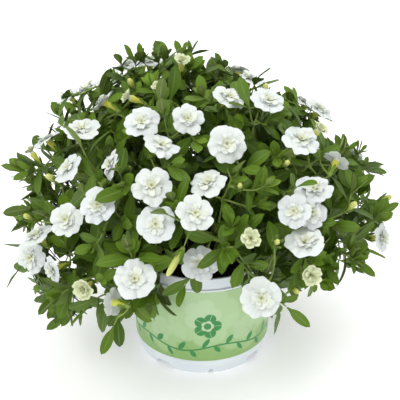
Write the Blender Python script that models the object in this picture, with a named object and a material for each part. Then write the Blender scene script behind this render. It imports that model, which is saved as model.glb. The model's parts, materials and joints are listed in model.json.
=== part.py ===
"""A potted double calibrachoa: a mound of leafy flowering stems in a footed plastic pot with a printed band.

Lengths are in millimetres and become metres where a mesh is made. +Z is up, and the origin is the centre of
the circle on which the pot's feet stand. The front of the plant faces -Y.
"""

import math
import random

import bmesh
import bpy
from mathutils import Matrix, Vector
from mathutils.bvhtree import BVHTree

METRES = 0.001

# Pot: radii from the axis, heights above the feet
POT_SIDES = 28
POT_HEIGHT = 107.0
COLLAR_RADIUS = 66.4
LIP_RADIUS = 67.4
LIP_HEIGHT = 2.4
WALL = 2.0
BAND_BOTTOM = 17.0
BAND_TOP = 93.0
BAND_RADIUS_BOTTOM = 65.2
BAND_RADIUS_TOP = 66.7
BAND_THICKNESS = 0.6
FOOT_RADIUS = 60.5
FOOT_RING = 3.4
FLOOR_UNDERSIDE = 8.0
FLOOR_THICKNESS = 2.0
TOUCH_GAP = 0.3

# Notches in the foot ring, in degrees round from the front: four narrow and four wide
NOTCH_STEP = 90.0
NARROW_NOTCH = {"first": 8.0, "width": 5.0, "height": 4.0}
WIDE_NOTCH = {"first": 53.0, "width": 21.0, "height": 6.0}
DRAIN_HOLES = 6
DRAIN_RADIUS = 4.0
DRAIN_CIRCLE = 44.0

# Soil
SOIL_TOP = 97.0
SOIL_SIDES = 14
SOIL_RINGS = (0.42, 0.78)
SOIL_BUMP = 1.6
STEM_HOLE_DEPTH = 24.0
STEM_HOLE_ROOM = 0.9

# The mound that the shoots and blooms fill: a dome over a shallower bowl
HEART = Vector((0.0, 0.0, 143.0))
MOUND_RADIUS = 172.0
DOME_HEIGHT = 142.0
BOWL_DEPTH = 66.0
REACH_LIMIT = 188.5
BACK_LIMIT = 181.0
TOP_LIMIT = 303.0
LOW_LIMIT = 42.0

# The eye that the front blooms were read from: how far it looks down, its distance, and the spot it looks at.
# Its plane of sight stands square to its gaze, through the pot's axis, with places given across and up.
EYE_LIFT = math.radians(27)
EYE_RANGE = 1100.0
EYE_CENTRE = (-2.0, 137.0)
ACROSS = Vector((1, 0, 0))
UP = Vector((0, math.sin(EYE_LIFT), math.cos(EYE_LIFT)))
GAZE = Vector((0, math.cos(EYE_LIFT), -math.sin(EYE_LIFT)))
EYE = ACROSS * EYE_CENTRE[0] + UP * EYE_CENTRE[1] - GAZE * EYE_RANGE

# The mound's upper outline from that eye, across and up
OUTLINE = [
    (-200, 165),
    (-157, 218),
    (-97, 272),
    (-45, 284),
    (-22, 299),
    (18, 284),
    (36, 268),
    (68, 248),
    (96, 240),
    (128, 216),
    (170, 192),
    (200, 140),
]
OUTLINE_STEP = 0.02

# Stems: three-sided, so that leaves and stalks can grow from their walls
MAIN_STEMS = 13
CROWN_RADIUS = 36.0
FIRST_STEM_TURN = 0.6
STEM_RADIUS = 1.9
SHOOT_RADIUS = 1.15
STALK_RADIUS = 0.8
TWIST = 1.05
BEND_STEP = 44.0

# Blooms
TUBE_LENGTH = 14.0
LOBES = 5
SEAT_RADIUS = 2.7
SEPAL_REACH = 5.4
SEPAL_RISE = 3.8
CALYX_DEPTH = 3.6
HALF_OPEN_CUP = 0.45
HALF_OPEN_SEED = 200

# Leaves. A leafy segment is a short stretch of shoot, so far back from the tip.
LEAF_LENGTHS = (26.0, 39.0)
LEAF_WIDTH_SHARES = (0.34, 0.43)
LEAF_KEEL = 1.5
LEAF_BASE = 2.4
LEAF_TRIES = 6
LEAVES_PER_SEGMENT = 3
CLEARANCE = 0.5
OUTER_SHARE = 0.3

# Side shoots: those beside blooms, and those that fill the gaps between them
BESIDE_BLOOM = 5.0
PRESS_STEPS = 12
PRESS_SHARE = 0.05
SHOOT_TRIES = 9
BLOOM_SHOOT_SEGMENTS = (9.0, 26.0)
FILLING_SEGMENTS = (8.0, 22.0)
MAIN_SEGMENTS = (8.0, 24.0)
FILLING_SHOOTS = 3
FILLING_SPOTS = 150
FILLING_ROOM = 25.0
BARE_FRONT_HALF_WIDTH = 34.0
BARE_FRONT_TOP = 150.0

# Open blooms of the front, as seen from the eye: across and up in the plane of the pot's axis, how deep they
# sit below the mound's surface, their diameter, and the way they face (turn from the front, lift from level).
# A group's blooms grow pressed together and are one piece.
FRONT_BLOOMS = [
    [(-99, 236, 0, 26, -110, 30)],
    [(-120, 208, 0, 34, -50, 65)],
    [(-155, 198, 4, 28, -100, 50)],
    [(-134, 169, 0, 32, -60, 35)],
    [(-91, 172, 4, 30, -80, 15)],
    [(-60, 215, 0, 34, -15, 50)],
    [(-41, 192, 0, 32, 55, 50)],
    [(-14, 218, 0, 31, 10, 40)],
    [(-50, 151, 0, 37, -5, 45)],
    [(-104, 132, 0, 35, -15, 35)],
    [(6, 154, 9, 33, -35, 60)],
    [(-7, 124, 0, 34, 12, 35)],
    [(27, 240, 4, 31, 60, 50)],
    [(66, 237, 0, 32, 40, 50)],
    [(25, 193, 0, 35, 5, 32)],
    [(99, 197, 0, 36, 20, 60)],
    [(135, 177, 8, 27, 150, 30)],
    [(92, 126, 0, 31, -12, 28), (121, 124, 0, 32, 22, 28), (111, 148, 3, 35, 15, 62)],
    [(103, 95, 0, 36, 15, 70)],
    [(59, 39, 0, 37, 10, 25)],
    [(-2, 73, 42, 34, -5, 32)],
    [(180, 99, 0, 28, 60, 12)],
    [(-46, 113, 3, 35, -5, 28)],
    [(-136, 117, 0, 32, -25, 38)],
    [(-165, 102, 0, 30, -70, 55)],
    [(-171, 80, 3, 33, -30, 5)],
    [(-150, 67, 6, 28, -60, -8)],
    [(-90, 35, 10, 28, -120, -5)],
    [(-67, 58, 0, 37, -5, 38)],
]
FRONT_HALF_OPEN = [
    (-20, 275, 0, 19, 20, 70),
    (-73, 240, 0, 17, -80, 30),
    (-44, 250, 0, 14, -30, 60),
    (-176, 187, 0, 16, -120, 50),
    (117, 207, 0, 18, 70, 50),
    (48, 98, 0, 22, 10, 38),
    (108, 62, 0, 23, 20, 22),
    (-117, 49, 0, 24, -20, 10),
]
# Buds of the front: across, up, length, turn and lift
FRONT_BUDS = [
    (-71, 254, 12, -40, 60),
    (-151, 159, 13, -60, 40),
    (63, 249, 12, 30, 60),
    (85, 174, 10, 10, 40),
    (38, 151, 9, 0, 50),
    (186, 139, 12, 70, 30),
    (75, 95, 10, 10, 40),
    (94, 46, 10, 20, 10),
    (-125, 27, 11, -20, -10),
    (-174, 120, 11, -60, 40),
    (-28, 73, 24, -40, -40),
    (150, 131, 13, 60, 50),
]
# The furthest tips of the front view, which leafy shoots reach out to: across and up
FRONT_TIPS = [
    (-21, 290),
    (-95, 264),
    (-155, 214),
    (-194, 165),
    (-192, 84),
    (-160, 18),
    (-126, 4),
    (78, 26),
    (144, 50),
    (178, 60),
    (194, 132),
    (170, 186),
    (94, 234),
]
# The back carries blooms by rule: directions spread evenly round the heart, every third with a second bloom
BACK_BLOOMS = 12
BACK_SIZE = (30.0, 36.0)
BACK_FIRST_Y = 34.0
GOLDEN_ANGLE = math.radians(137.508)


# Small geometry helpers: a shape is a list of points and a list of faces


def unit(vector):
    return vector.normalized()


def facing_vector(turn, lift):
    """The direction `turn` degrees round from the front, to the right, and `lift` degrees above level."""
    turn, lift = math.radians(turn), math.radians(lift)
    return Vector((math.sin(turn) * math.cos(lift), -math.cos(turn) * math.cos(lift), math.sin(lift)))


def frame_along(direction, spin=0.0):
    """Side and second side vectors that stand square to a direction."""
    helper = Vector((0, 0, 1)) if abs(direction.z) < 0.9 else Vector((0, 1, 0))
    side = unit(direction.cross(helper))
    turned = Matrix.Rotation(spin, 3, direction) @ side
    return turned, unit(direction.cross(turned))


def bezier(start, lean, draw_in, end, steps):
    """Points of a cubic curve."""
    points = []
    for step in range(steps + 1):
        t = step / steps
        s = 1 - t
        points.append(start * s**3 + lean * 3 * s * s * t + draw_in * 3 * s * t * t + end * t**3)
    return points


def tube(points, radii, sides, swell=0.0):
    """A closed tube of few sides along a path. With one radius fewer than points it ends in a point."""
    verts, faces = [], []
    side, other = frame_along(unit(points[1] - points[0]))
    for i, radius in enumerate(radii):
        direction = unit(points[min(i + 1, len(points) - 1)] - points[max(i - 1, 0)])
        side = unit(side - direction * side.dot(direction))
        other = direction.cross(side)
        for k in range(sides):
            angle = 2 * math.pi * k / sides
            verts.append(points[i] + (side * math.cos(angle) + other * math.sin(angle)) * (radius + swell))
    for i in range(len(radii) - 1):
        for k in range(sides):
            a, b = i * sides + k, i * sides + (k + 1) % sides
            faces += [(a, b, b + sides), (a, b + sides, a + sides)]
    faces.append(tuple(reversed(range(sides))))
    last = (len(radii) - 1) * sides
    if len(radii) == len(points):
        faces.append(tuple(range(last, last + sides)))
        return verts, faces
    verts.append(points[-1])
    faces += [(last + k, last + (k + 1) % sides, len(verts) - 1) for k in range(sides)]
    return verts, faces


def placed(shape, centre, direction, spin):
    """A shape whose +Z is turned to a direction."""
    side, other = frame_along(direction, spin)
    verts, faces = shape
    return [centre + side * v.x + other * v.y + direction * v.z for v in verts], faces


def sections(points, rights, faces_up, sizes):
    """Three-cornered sections, each left, right and keel, from (half width, keel depth) sizes."""
    verts = []
    for point, right, face, (half_width, keel) in zip(points, rights, faces_up, sizes):
        verts += [point - right * half_width, point + right * half_width, point - face * keel]
    return verts


def band_faces(count):
    """Faces of a run of three-cornered sections, closed at its root."""
    faces = [(0, 1, 2)]
    for first in range(0, 3 * (count - 1), 3):
        for k in range(3):
            a, b = first + k, first + (k + 1) % 3
            faces += [(b, a, a + 3), (b, a + 3, b + 3)]
    return faces


def leaf(root, along, face, length, width, droop, swell=0.0):
    """A blade that arches down, widest before its middle, with a pointed tip. Its keel runs straight from the
    widest part to the tip."""
    along = unit(along)
    right = unit(face.cross(along))
    points, ups, travelled = [], [], 0.0
    point = root - along * swell
    for share in (0, 0.40, 0.76, 1.0):
        bent = unit(Matrix.Rotation(droop * share, 3, right) @ along)
        point = point + bent * (share - travelled) * length
        travelled = share
        points.append(point)
        ups.append(unit(bent.cross(right)) * swell)
    points = [place + up for place, up in zip(points, ups)]
    sizes = [(0.7 + swell, 1.3 + 2 * swell), (0.46 * width + swell, LEAF_KEEL + 2 * swell)]
    root_ups = [unit(way.cross(right)) for way in (along, points[2] - points[1])]
    verts = sections(points[:2], [right, right], root_ups, sizes)
    half_width = 0.40 * width + swell
    verts += [points[2] - right * half_width, points[2] + right * half_width, points[3]]
    faces = band_faces(2) + [(4, 3, 6), (4, 6, 7), (7, 6, 8), (5, 4, 7), (5, 7, 8), (5, 8, 6), (3, 5, 6)]
    return verts, faces


def bridge(near, far):
    """Triangles from one loop to the next, both running the same way round, whatever their counts."""
    faces, i, j = [], 0, 0
    while i < len(near) or j < len(far):
        if (i + 1) / len(near) <= (j + 1) / len(far):
            faces.append((near[i % len(near)], near[(i + 1) % len(near)], far[j % len(far)]))
            i += 1
        else:
            faces.append((near[i % len(near)], far[(j + 1) % len(far)], far[j % len(far)]))
            j += 1
    return faces


def lobe_fan(inner, outer, upward):
    """Faces between a ring with one point for each lobe and a ring with several."""
    per_lobe = len(outer) // LOBES
    faces = []
    for k in range(LOBES):
        for j in range(per_lobe):
            faces.append((inner[k], outer[k * per_lobe + j], outer[(k * per_lobe + j + 1) % len(outer)]))
        faces.append((inner[k], outer[(k + 1) * per_lobe % len(outer)], inner[(k + 1) % LOBES]))
    return faces if upward else [tuple(reversed(face)) for face in faces]


def bloom(diameter, cup, seed, swell=0.0):
    """A double bloom facing +Z: a tube, a limb of five waved lobes and a ruffled second limb that cups the
    eye. `cup` raises the rim of a bloom that is still opening."""
    draw = random.Random(f"bloom {seed}")
    radius = diameter / 2 + swell
    verts = []

    def ring(entries):
        first = len(verts)
        for angle, reach, height in entries:
            verts.append(Vector((reach * math.cos(angle), reach * math.sin(angle), height)))
        return list(range(first, len(verts)))

    lobe = [2 * math.pi * k / LOBES for k in range(LOBES)]
    base = ring([(a, 1.5 + swell, -TUBE_LENGTH) for a in lobe])
    throat = ring([(a, 3.3 + swell, -1.8 + cup * radius * 0.15) for a in lobe])
    rim_points, ruffle_points = [], []
    for a in lobe:
        wave = [draw.uniform(-0.05, 0.08) * radius for _ in range(3)]
        lift = cup * radius
        shrink = 1 - 0.35 * cup
        rim_points += [
            (a - math.pi / LOBES, 0.80 * radius * shrink, lift * 0.8 + 0.06 * radius + wave[0]),
            (a - 0.27, radius * shrink, lift + wave[1]),
            (a + 0.27, radius * shrink, lift + wave[2]),
        ]
        ruffle_points += [
            (a - math.pi / LOBES, 0.46 * radius * shrink, lift * 0.7 + 0.24 * radius),
            (a, draw.uniform(0.56, 0.66) * radius * shrink, lift * 0.8 + 0.30 * radius + wave[0]),
        ]
    rim = ring(rim_points)
    seat = ring([(a, 0.30 * radius, 0.9 + cup * radius * 0.3) for a in lobe])
    ruffle = ring(ruffle_points)
    verts.append(Vector((0, 0, 0.12 * radius + cup * radius * 0.5)))
    faces = [tuple(reversed(base))]
    for k in range(LOBES):
        n = (k + 1) % LOBES
        faces += [(base[k], base[n], throat[n]), (base[k], throat[n], throat[k])]
    faces += lobe_fan(throat, rim, upward=False)
    faces += lobe_fan(seat, rim, upward=True)
    faces += lobe_fan(seat, ruffle, upward=False)
    faces += [(a, b, len(verts) - 1) for a, b in zip(ruffle, ruffle[1:] + ruffle[:1])]
    return verts, faces


def stalk(path, right, centre, facing, spin, crown=None, swell=0.0):
    """A flower stalk along a path, its first section on the shoot, with a calyx of five pointed sepals round
    a seat that lies a touch below a bloom's tube. A crown (a bud or a half-open bloom) grows on from it."""
    points, rights, ups, sizes = [], [], [], []
    for i, point in enumerate(path):
        way = unit(path[min(i + 1, len(path) - 1)] - path[max(i - 1, 0)])
        right = unit(right - way * right.dot(way))
        up = way.cross(right)
        points.append(point + up * (STALK_RADIUS + swell) * 0.5)
        rights.append(right)
        ups.append(up)
        sizes.append(((STALK_RADIUS + swell) * 0.87, (STALK_RADIUS + swell) * 1.5))
    verts = sections(points, rights, ups, sizes)
    faces = band_faces(len(path))
    last = len(verts) - 3
    side, other = frame_along(facing, spin)
    seat_height, tip_height = -TUBE_LENGTH - TOUCH_GAP, SEPAL_RISE - TUBE_LENGTH
    zigzag = []
    for k in range(2 * LOBES):
        reach, height = (SEPAL_REACH, tip_height) if k % 2 else (SEAT_RADIUS, seat_height)
        angle = math.pi * k / LOBES
        zigzag.append(len(verts))
        verts.append(centre + (side * math.cos(angle) + other * math.sin(angle)) * reach + facing * height)
    keel = verts[last + 2] - path[-1]
    nearest = max(range(2 * LOBES), key=lambda k: (verts[zigzag[k]] - centre).dot(keel))
    faces += bridge([last + 2, last + 1, last], zigzag[nearest:] + zigzag[:nearest])
    seat, tips = zigzag[::2], zigzag[1::2]
    faces += [(seat[k], tips[k], seat[(k + 1) % LOBES]) for k in range(LOBES)]
    if crown is None:
        faces.append(tuple(seat))
        return verts, faces
    crown_verts, crown_faces = crown
    first = len(verts) - LOBES
    verts += [centre + side * v.x + other * v.y + facing * v.z for v in crown_verts[LOBES:]]
    faces += [tuple(seat[v] if v < LOBES else first + v for v in face) for face in crown_faces[1:]]
    return verts, faces


def bud(length):
    """A closed bud along +Z. Its first ring is the calyx seat that it grows from."""
    girth = min(0.14 * length + 0.8, 2.6)
    verts, faces = [], [tuple(reversed(range(LOBES)))]
    for reach, height in ((SEAT_RADIUS, 0), (girth, 0.62 * length)):
        for k in range(LOBES):
            angle = 2 * math.pi * k / LOBES
            verts.append(Vector((reach * math.cos(angle), reach * math.sin(angle), height - TUBE_LENGTH)))
    verts.append(Vector((0, 0, length - TUBE_LENGTH)))
    faces += bridge(list(range(LOBES)), list(range(LOBES, 2 * LOBES)))
    faces += [(LOBES + k, LOBES + (k + 1) % LOBES, 2 * LOBES) for k in range(LOBES)]
    return verts, faces


def along_path(points, distance):
    """The place and direction `distance` back from a path's end."""
    for i in range(len(points) - 1, 0, -1):
        step = points[i] - points[i - 1]
        if distance <= step.length or i == 1:
            return points[i] - unit(step) * distance, unit(step)
        distance -= step.length


def nearest_on_path(points, place):
    """The spot of a path that lies nearest to a place."""
    spots = []
    for start, end in zip(points, points[1:]):
        share = (place - start).dot(end - start) / (end - start).length_squared
        spots.append(start.lerp(end, min(max(share, 0.0), 1.0)))
    return min(spots, key=lambda spot: (spot - place).length)


class Twig:
    """A three-sided stem along a path. Each wall of its leafy segments can grow a leaf or a stalk, and its
    end can grow a last leaf."""

    def __init__(self, path, radius, segments, planted=False):
        length = sum((b - a).length for a, b in zip(path, path[1:]))
        segments = [back for back in segments if back + LEAF_BASE + 6 < length]
        marks = {0.0, length} | set(segments) | {back + LEAF_BASE for back in segments}
        reached = max(marks - {length})
        if planted:
            marks.add(length - (path[1] - path[0]).length)
        spare = int((length - reached) / BEND_STEP)
        marks |= {reached + (length - reached) * (k + 1) / (spare + 1) for k in range(spare)}
        self.path, self.tip_way = path, unit(path[-1] - path[-2])
        self.axis = []
        self.verts, self.walls, self.leafy, self.used, self.grown = [], {}, [], set(), []
        self.capped = True
        side, _ = frame_along(unit(path[1] - path[0]))
        for i, back in enumerate(sorted(marks, reverse=True)):
            point, way = along_path(path, back)
            self.axis.append(point)
            side = unit(side - way * side.dot(way))
            side = Matrix.Rotation(TWIST if back in segments else 0.0, 3, way) @ side
            other = way.cross(side)
            reach = radius * (0.72 + 0.28 * back / length)
            for k in range(3):
                angle = 2 * math.pi * k / 3
                self.verts.append(point + (side * math.cos(angle) + other * math.sin(angle)) * reach)
            for k in range(3 if i else 0):
                a, b = 3 * i - 3 + k, 3 * i - 3 + (k + 1) % 3
                self.walls[i - 1, k] = (a, b, b + 3, a + 3)
                if back in segments:
                    self.leafy.append((i - 1, k))
        self.tip_ring = [len(self.verts) - 3, len(self.verts) - 2, len(self.verts) - 1]

    def wall(self, key):
        """Where a wall is, the way it faces and the way that the shoot runs there."""
        corners = [self.verts[i] for i in self.walls[key]]
        middle = sum(corners, Vector()) / 4
        way = unit(corners[2] + corners[3] - corners[0] - corners[1])
        across = unit(corners[1] + corners[2] - corners[0] - corners[3])
        return middle, unit(across.cross(way)), way

    def free(self):
        return [key for key in self.leafy if key not in self.used]

    def attach(self, near, shape):
        """Grow a shape on from a loop of this stem: its root section gives way to the loop."""
        first = len(self.verts) - 3
        verts, faces = shape
        self.verts += verts[3:]
        self.grown += [tuple(first + v for v in face) for face in faces if min(face) >= 3]
        self.grown += bridge(near, [first + 5, first + 4, first + 3])

    def grow_on(self, key, shape):
        self.used.add(key)
        self.attach(self.walls[key], shape)

    def grow_tip(self, shape):
        self.capped = False
        self.attach(self.tip_ring, shape)

    def shape(self):
        faces = [(2, 1, 0)] + self.grown
        for key, (a, b, c, d) in self.walls.items():
            if key not in self.used:
                faces += [(a, b, c), (a, c, d)]
        if self.capped:
            faces.append(tuple(self.tip_ring))
        return self.verts, faces


# What already grows where: every solid is tested against the others before it is let in


class Garden:
    """The shapes let in so far, each with its owner."""

    def __init__(self):
        self.grown = []

    @staticmethod
    def tree(shape):
        verts, faces = shape
        low = Vector([min(v[k] for v in verts) for k in range(3)])
        high = Vector([max(v[k] for v in verts) for k in range(3)])
        return low, high, BVHTree.FromPolygons(verts, faces)

    def clear(self, shape, ignore=()):
        """Whether a shape crosses nothing that another owner has."""
        low, high, tree = self.tree(shape)
        for owner, (a, b, other) in self.grown:
            if owner in ignore or any(low[k] > b[k] or high[k] < a[k] for k in range(3)):
                continue
            if tree.overlap(other):
                return False
        return True

    def add(self, owner, shape):
        self.grown.append((owner, self.tree(shape)))


# The mound's form


def level(point):
    """Under 1 inside the mound and 1 on its surface."""
    off = point - HEART
    rise = DOME_HEIGHT if off.z > 0 else BOWL_DEPTH
    return math.sqrt((off.x**2 + off.y**2) / MOUND_RADIUS**2 + (off.z / rise) ** 2)


def outward(point):
    """The way the mound's surface faces at a point."""
    off = point - HEART
    rise = DOME_HEIGHT if off.z > 0 else BOWL_DEPTH
    return unit(Vector((off.x / MOUND_RADIUS**2, off.y / MOUND_RADIUS**2, off.z / rise**2)))


def under_outline(point):
    """Whether a point lies under the mound's outline, seen from the eye."""
    ahead = point - EYE
    scale = EYE_RANGE / ahead.dot(GAZE)
    across = EYE_CENTRE[0] + ahead.x * scale
    up = EYE_CENTRE[1] + ahead.dot(UP) * scale
    for (left, low), (right, high) in zip(OUTLINE, OUTLINE[1:]):
        if left <= across <= right:
            return up < low + (high - low) * (across - left) / (right - left)
    return False


def on_mound(direction):
    """The surface point in a direction from the heart, drawn in where it would stand over the outline."""
    surface, share = direction / level(HEART + direction), 1.0
    while share > 0.4 and not under_outline(HEART + surface * share):
        share -= OUTLINE_STEP
    return HEART + surface * share


def sight_line(across, up):
    """Points along the sight line through a spot of the front view, and its direction."""
    ray = unit(ACROSS * across + UP * up - EYE)
    return [EYE + ray * (EYE_RANGE - 260 + 2 * step) for step in range(260)], ray


def sighted(across, up, sink=0.0):
    """Where the sight line through a spot of the front view meets the mound, `sink` below its surface."""
    spots, ray = sight_line(across, up)
    inside = [spot for spot in spots if level(spot) <= 1]
    found = inside[0] if inside else on_mound(min(spots, key=level) - HEART)
    return found + ray * sink


# Turning shapes into named objects


def material(name, colour, roughness):
    made = bpy.data.materials.new(name)
    made.use_nodes = True
    shader = made.node_tree.nodes["Principled BSDF"]
    shader.inputs["Base Color"].default_value = (*colour, 1)
    shader.inputs["Roughness"].default_value = roughness
    shader.inputs["Metallic"].default_value = 0.0
    return made


def mesh_object(name, shape, finish, collection=None):
    verts, faces = shape
    mesh = bpy.data.meshes.new(name)
    mesh.from_pydata([v * METRES for v in verts], [], faces)
    mesh.validate()
    mesh.materials.append(finish)
    made = bpy.data.objects.new(name, mesh)
    (collection or bpy.context.scene.collection).objects.link(made)
    return made


def apply_modifiers(made):
    graph = bpy.context.evaluated_depsgraph_get()
    mesh = bpy.data.meshes.new_from_object(made.evaluated_get(graph))
    made.modifiers.clear()
    made.data = mesh


def combine(made, shapes, operation, finish, solver="EXACT"):
    """One Boolean of an object with a collection of shapes, applied. The shapes' objects then go."""
    helpers = bpy.data.collections.new(made.name + "_pieces")
    bpy.context.scene.collection.children.link(helpers)
    for number, shape in enumerate(shapes):
        mesh_object(f"{made.name}_piece_{number}", shape, finish, helpers)
    boolean = made.modifiers.new("combine", "BOOLEAN")
    boolean.operation = operation
    boolean.operand_type = "COLLECTION"
    boolean.collection = helpers
    boolean.solver = solver
    apply_modifiers(made)
    for helper in list(helpers.objects):
        bpy.data.objects.remove(helper)
    bpy.data.collections.remove(helpers)
    return made


# Pot, band and soil


def turned(profile, sides, start=0.0):
    """A closed shape turned round Z from (radius, height) points, bottom centre first. Radius 0 is a pole."""
    verts, faces, rings = [], [], []
    for radius, height in profile:
        first = len(verts)
        if radius == 0:
            verts.append(Vector((0, 0, height)))
            rings.append([first] * sides)
            continue
        for k in range(sides):
            angle = start + 2 * math.pi * k / sides
            verts.append(Vector((radius * math.cos(angle), radius * math.sin(angle), height)))
        rings.append(list(range(first, first + sides)))
    pairs = list(zip(rings, rings[1:]))
    if profile[0][0] and profile[-1][0]:
        pairs.append((rings[-1], rings[0]))
    for low, high in pairs:
        for k in range(sides):
            n = (k + 1) % sides
            corners = (low[k], low[n], high[n], high[k])
            faces.append(tuple(dict.fromkeys(corners)))
    return verts, faces


def band_radius(height):
    share = (height - BAND_BOTTOM) / (BAND_TOP - BAND_BOTTOM)
    return BAND_RADIUS_BOTTOM + share * (BAND_RADIUS_TOP - BAND_RADIUS_BOTTOM)


def wedge(notch, turn):
    """A cutter for one notch: narrower at its roof than at the ground."""
    inner, outer = FOOT_RADIUS - FOOT_RING - 3, FOOT_RADIUS + 6
    verts = []
    for height, narrow in ((-1.0, 1.0), (notch["height"], 0.62)):
        for radius in (inner, outer):
            for way in (-1, 1):
                angle = math.radians(turn - 90 + way * notch["width"] / 2 * narrow)
                verts.append(Vector((radius * math.cos(angle), radius * math.sin(angle), height)))
    faces = [(1, 3, 2, 0), (6, 7, 5, 4), (4, 5, 1, 0), (3, 7, 6, 2), (2, 6, 4, 0), (5, 7, 3, 1)]
    return verts, faces


def post(centre_x, centre_y, low, high, radius, sides=5):
    """An upright prism, as a cutter for a plain round hole."""
    points = [Vector((centre_x, centre_y, low)), Vector((centre_x, centre_y, high))]
    return tube(points, [radius, radius], sides)


def pot_profile():
    """(radius, height) points round the pot's section, from the middle of its underside to its floor."""
    recess = BAND_THICKNESS + TOUCH_GAP
    inner_top = COLLAR_RADIUS - WALL
    inner_low = band_radius(BAND_BOTTOM) - recess - WALL
    floor_top = FLOOR_UNDERSIDE + FLOOR_THICKNESS
    return [
        (0, FLOOR_UNDERSIDE),
        (FOOT_RADIUS - FOOT_RING, FLOOR_UNDERSIDE),
        (FOOT_RADIUS - FOOT_RING, 0),
        (FOOT_RADIUS, 0),
        (band_radius(BAND_BOTTOM) - 0.1, BAND_BOTTOM - TOUCH_GAP),
        (band_radius(BAND_BOTTOM) - recess, BAND_BOTTOM - TOUCH_GAP),
        (band_radius(BAND_TOP) - recess, BAND_TOP + TOUCH_GAP),
        (LIP_RADIUS, BAND_TOP + TOUCH_GAP),
        (LIP_RADIUS, BAND_TOP + LIP_HEIGHT),
        (COLLAR_RADIUS - 0.4, BAND_TOP + LIP_HEIGHT + 0.8),
        (COLLAR_RADIUS, POT_HEIGHT - 1.0),
        (COLLAR_RADIUS - 0.8, POT_HEIGHT),
        (inner_top, POT_HEIGHT),
        (inner_top - 1.2, BAND_TOP),
        (inner_low - 1.6, floor_top),
        (0, floor_top),
    ]


def pot(finish):
    made = mesh_object("pot", turned(pot_profile(), POT_SIDES), finish)
    floor_top = FLOOR_UNDERSIDE + FLOOR_THICKNESS
    cutters = []
    for quarter in range(4):
        for notch in (NARROW_NOTCH, WIDE_NOTCH):
            cutters.append(wedge(notch, notch["first"] + quarter * NOTCH_STEP))
    for k in range(DRAIN_HOLES):
        angle = 2 * math.pi * (k + 0.5) / DRAIN_HOLES
        x, y = DRAIN_CIRCLE * math.cos(angle), DRAIN_CIRCLE * math.sin(angle)
        cutters.append(post(x, y, FLOOR_UNDERSIDE - 2, floor_top + 2, DRAIN_RADIUS))
    return combine(made, cutters, "DIFFERENCE", finish)


def soil_radius(height):
    """The soil's own radius: the pot's inside, less the touching gap."""
    recess = BAND_THICKNESS + TOUCH_GAP
    floor_top = FLOOR_UNDERSIDE + FLOOR_THICKNESS
    low = band_radius(BAND_BOTTOM) - recess - WALL - 1.6
    high = COLLAR_RADIUS - WALL - 1.2
    share = (height - floor_top) / (BAND_TOP - floor_top)
    return low + share * (high - low) - TOUCH_GAP


def soil_shape():
    """The body of soil, with a slightly uneven top."""
    bottom = FLOOR_UNDERSIDE + FLOOR_THICKNESS + TOUCH_GAP
    draw = random.Random("soil")
    edge = soil_radius(BAND_TOP)
    profile = [(0, bottom), (soil_radius(bottom), bottom), (edge, SOIL_TOP - 1)]
    profile += [(edge * share, SOIL_TOP) for share in reversed(SOIL_RINGS)]
    profile.append((0, SOIL_TOP))
    verts, faces = turned(profile, SOIL_SIDES)
    for vert in verts[1 + 2 * SOIL_SIDES :]:
        vert.z += draw.uniform(-SOIL_BUMP, SOIL_BUMP)
    return verts, faces


def soil(finish, stem_feet):
    made = mesh_object("soil", soil_shape(), finish)
    radius = STEM_RADIUS + STEM_HOLE_ROOM
    low = SOIL_TOP - STEM_HOLE_DEPTH
    holes = [post(foot.x, foot.y, low, SOIL_TOP + 9, radius) for foot in stem_feet]
    return combine(made, holes, "DIFFERENCE", finish)


def band(finish):
    outer_low, outer_high = band_radius(BAND_BOTTOM), band_radius(BAND_TOP)
    profile = [
        (outer_low - BAND_THICKNESS, BAND_BOTTOM),
        (outer_low, BAND_BOTTOM),
        (outer_high, BAND_TOP),
        (outer_high - BAND_THICKNESS, BAND_TOP),
    ]
    return mesh_object("band", turned(profile, POT_SIDES), finish)


# The plant


def in_reach(verts):
    return all(
        max(abs(v.x), -v.y) < REACH_LIMIT and v.y < BACK_LIMIT and LOW_LIMIT < v.z < TOP_LIMIT
        for v in verts
    ) and all(under_outline(v) for v in verts)


def bloom_plan():
    """Every open bloom: its node, place, facing, diameter and seed."""
    plan, number = [], 0
    for group, members in enumerate(FRONT_BLOOMS):
        for across, up, sink, size, turn, lift in members:
            plan.append((group, sighted(across, up, sink), facing_vector(turn, lift), size, number))
            number += 1
    draw = random.Random("back")
    spread = 46
    found = 0
    for k in range(spread):
        rise = 0.93 - 1.25 * (k + 0.5) / spread
        turn = k * GOLDEN_ANGLE
        flat = math.sqrt(1 - rise * rise)
        direction = Vector((flat * math.cos(turn), flat * math.sin(turn), rise))
        centre = on_mound(direction)
        if centre.y < BACK_FIRST_Y or found == BACK_BLOOMS:
            continue
        facing = unit(outward(centre) + Vector((0, 0, 0.45)))
        group = len(FRONT_BLOOMS) + found
        size = draw.uniform(*BACK_SIZE)
        plan.append((group, centre, facing, size, number))
        number += 1
        if found % 3 == 0:
            side, _ = frame_along(facing, draw.uniform(-0.6, 0.6))
            tilt = unit(facing + side * 0.35)
            plan.append((group, centre + side * size * 0.80 + facing * 2, tilt, size * 0.95, number))
            number += 1
        found += 1
    return plan


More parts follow.
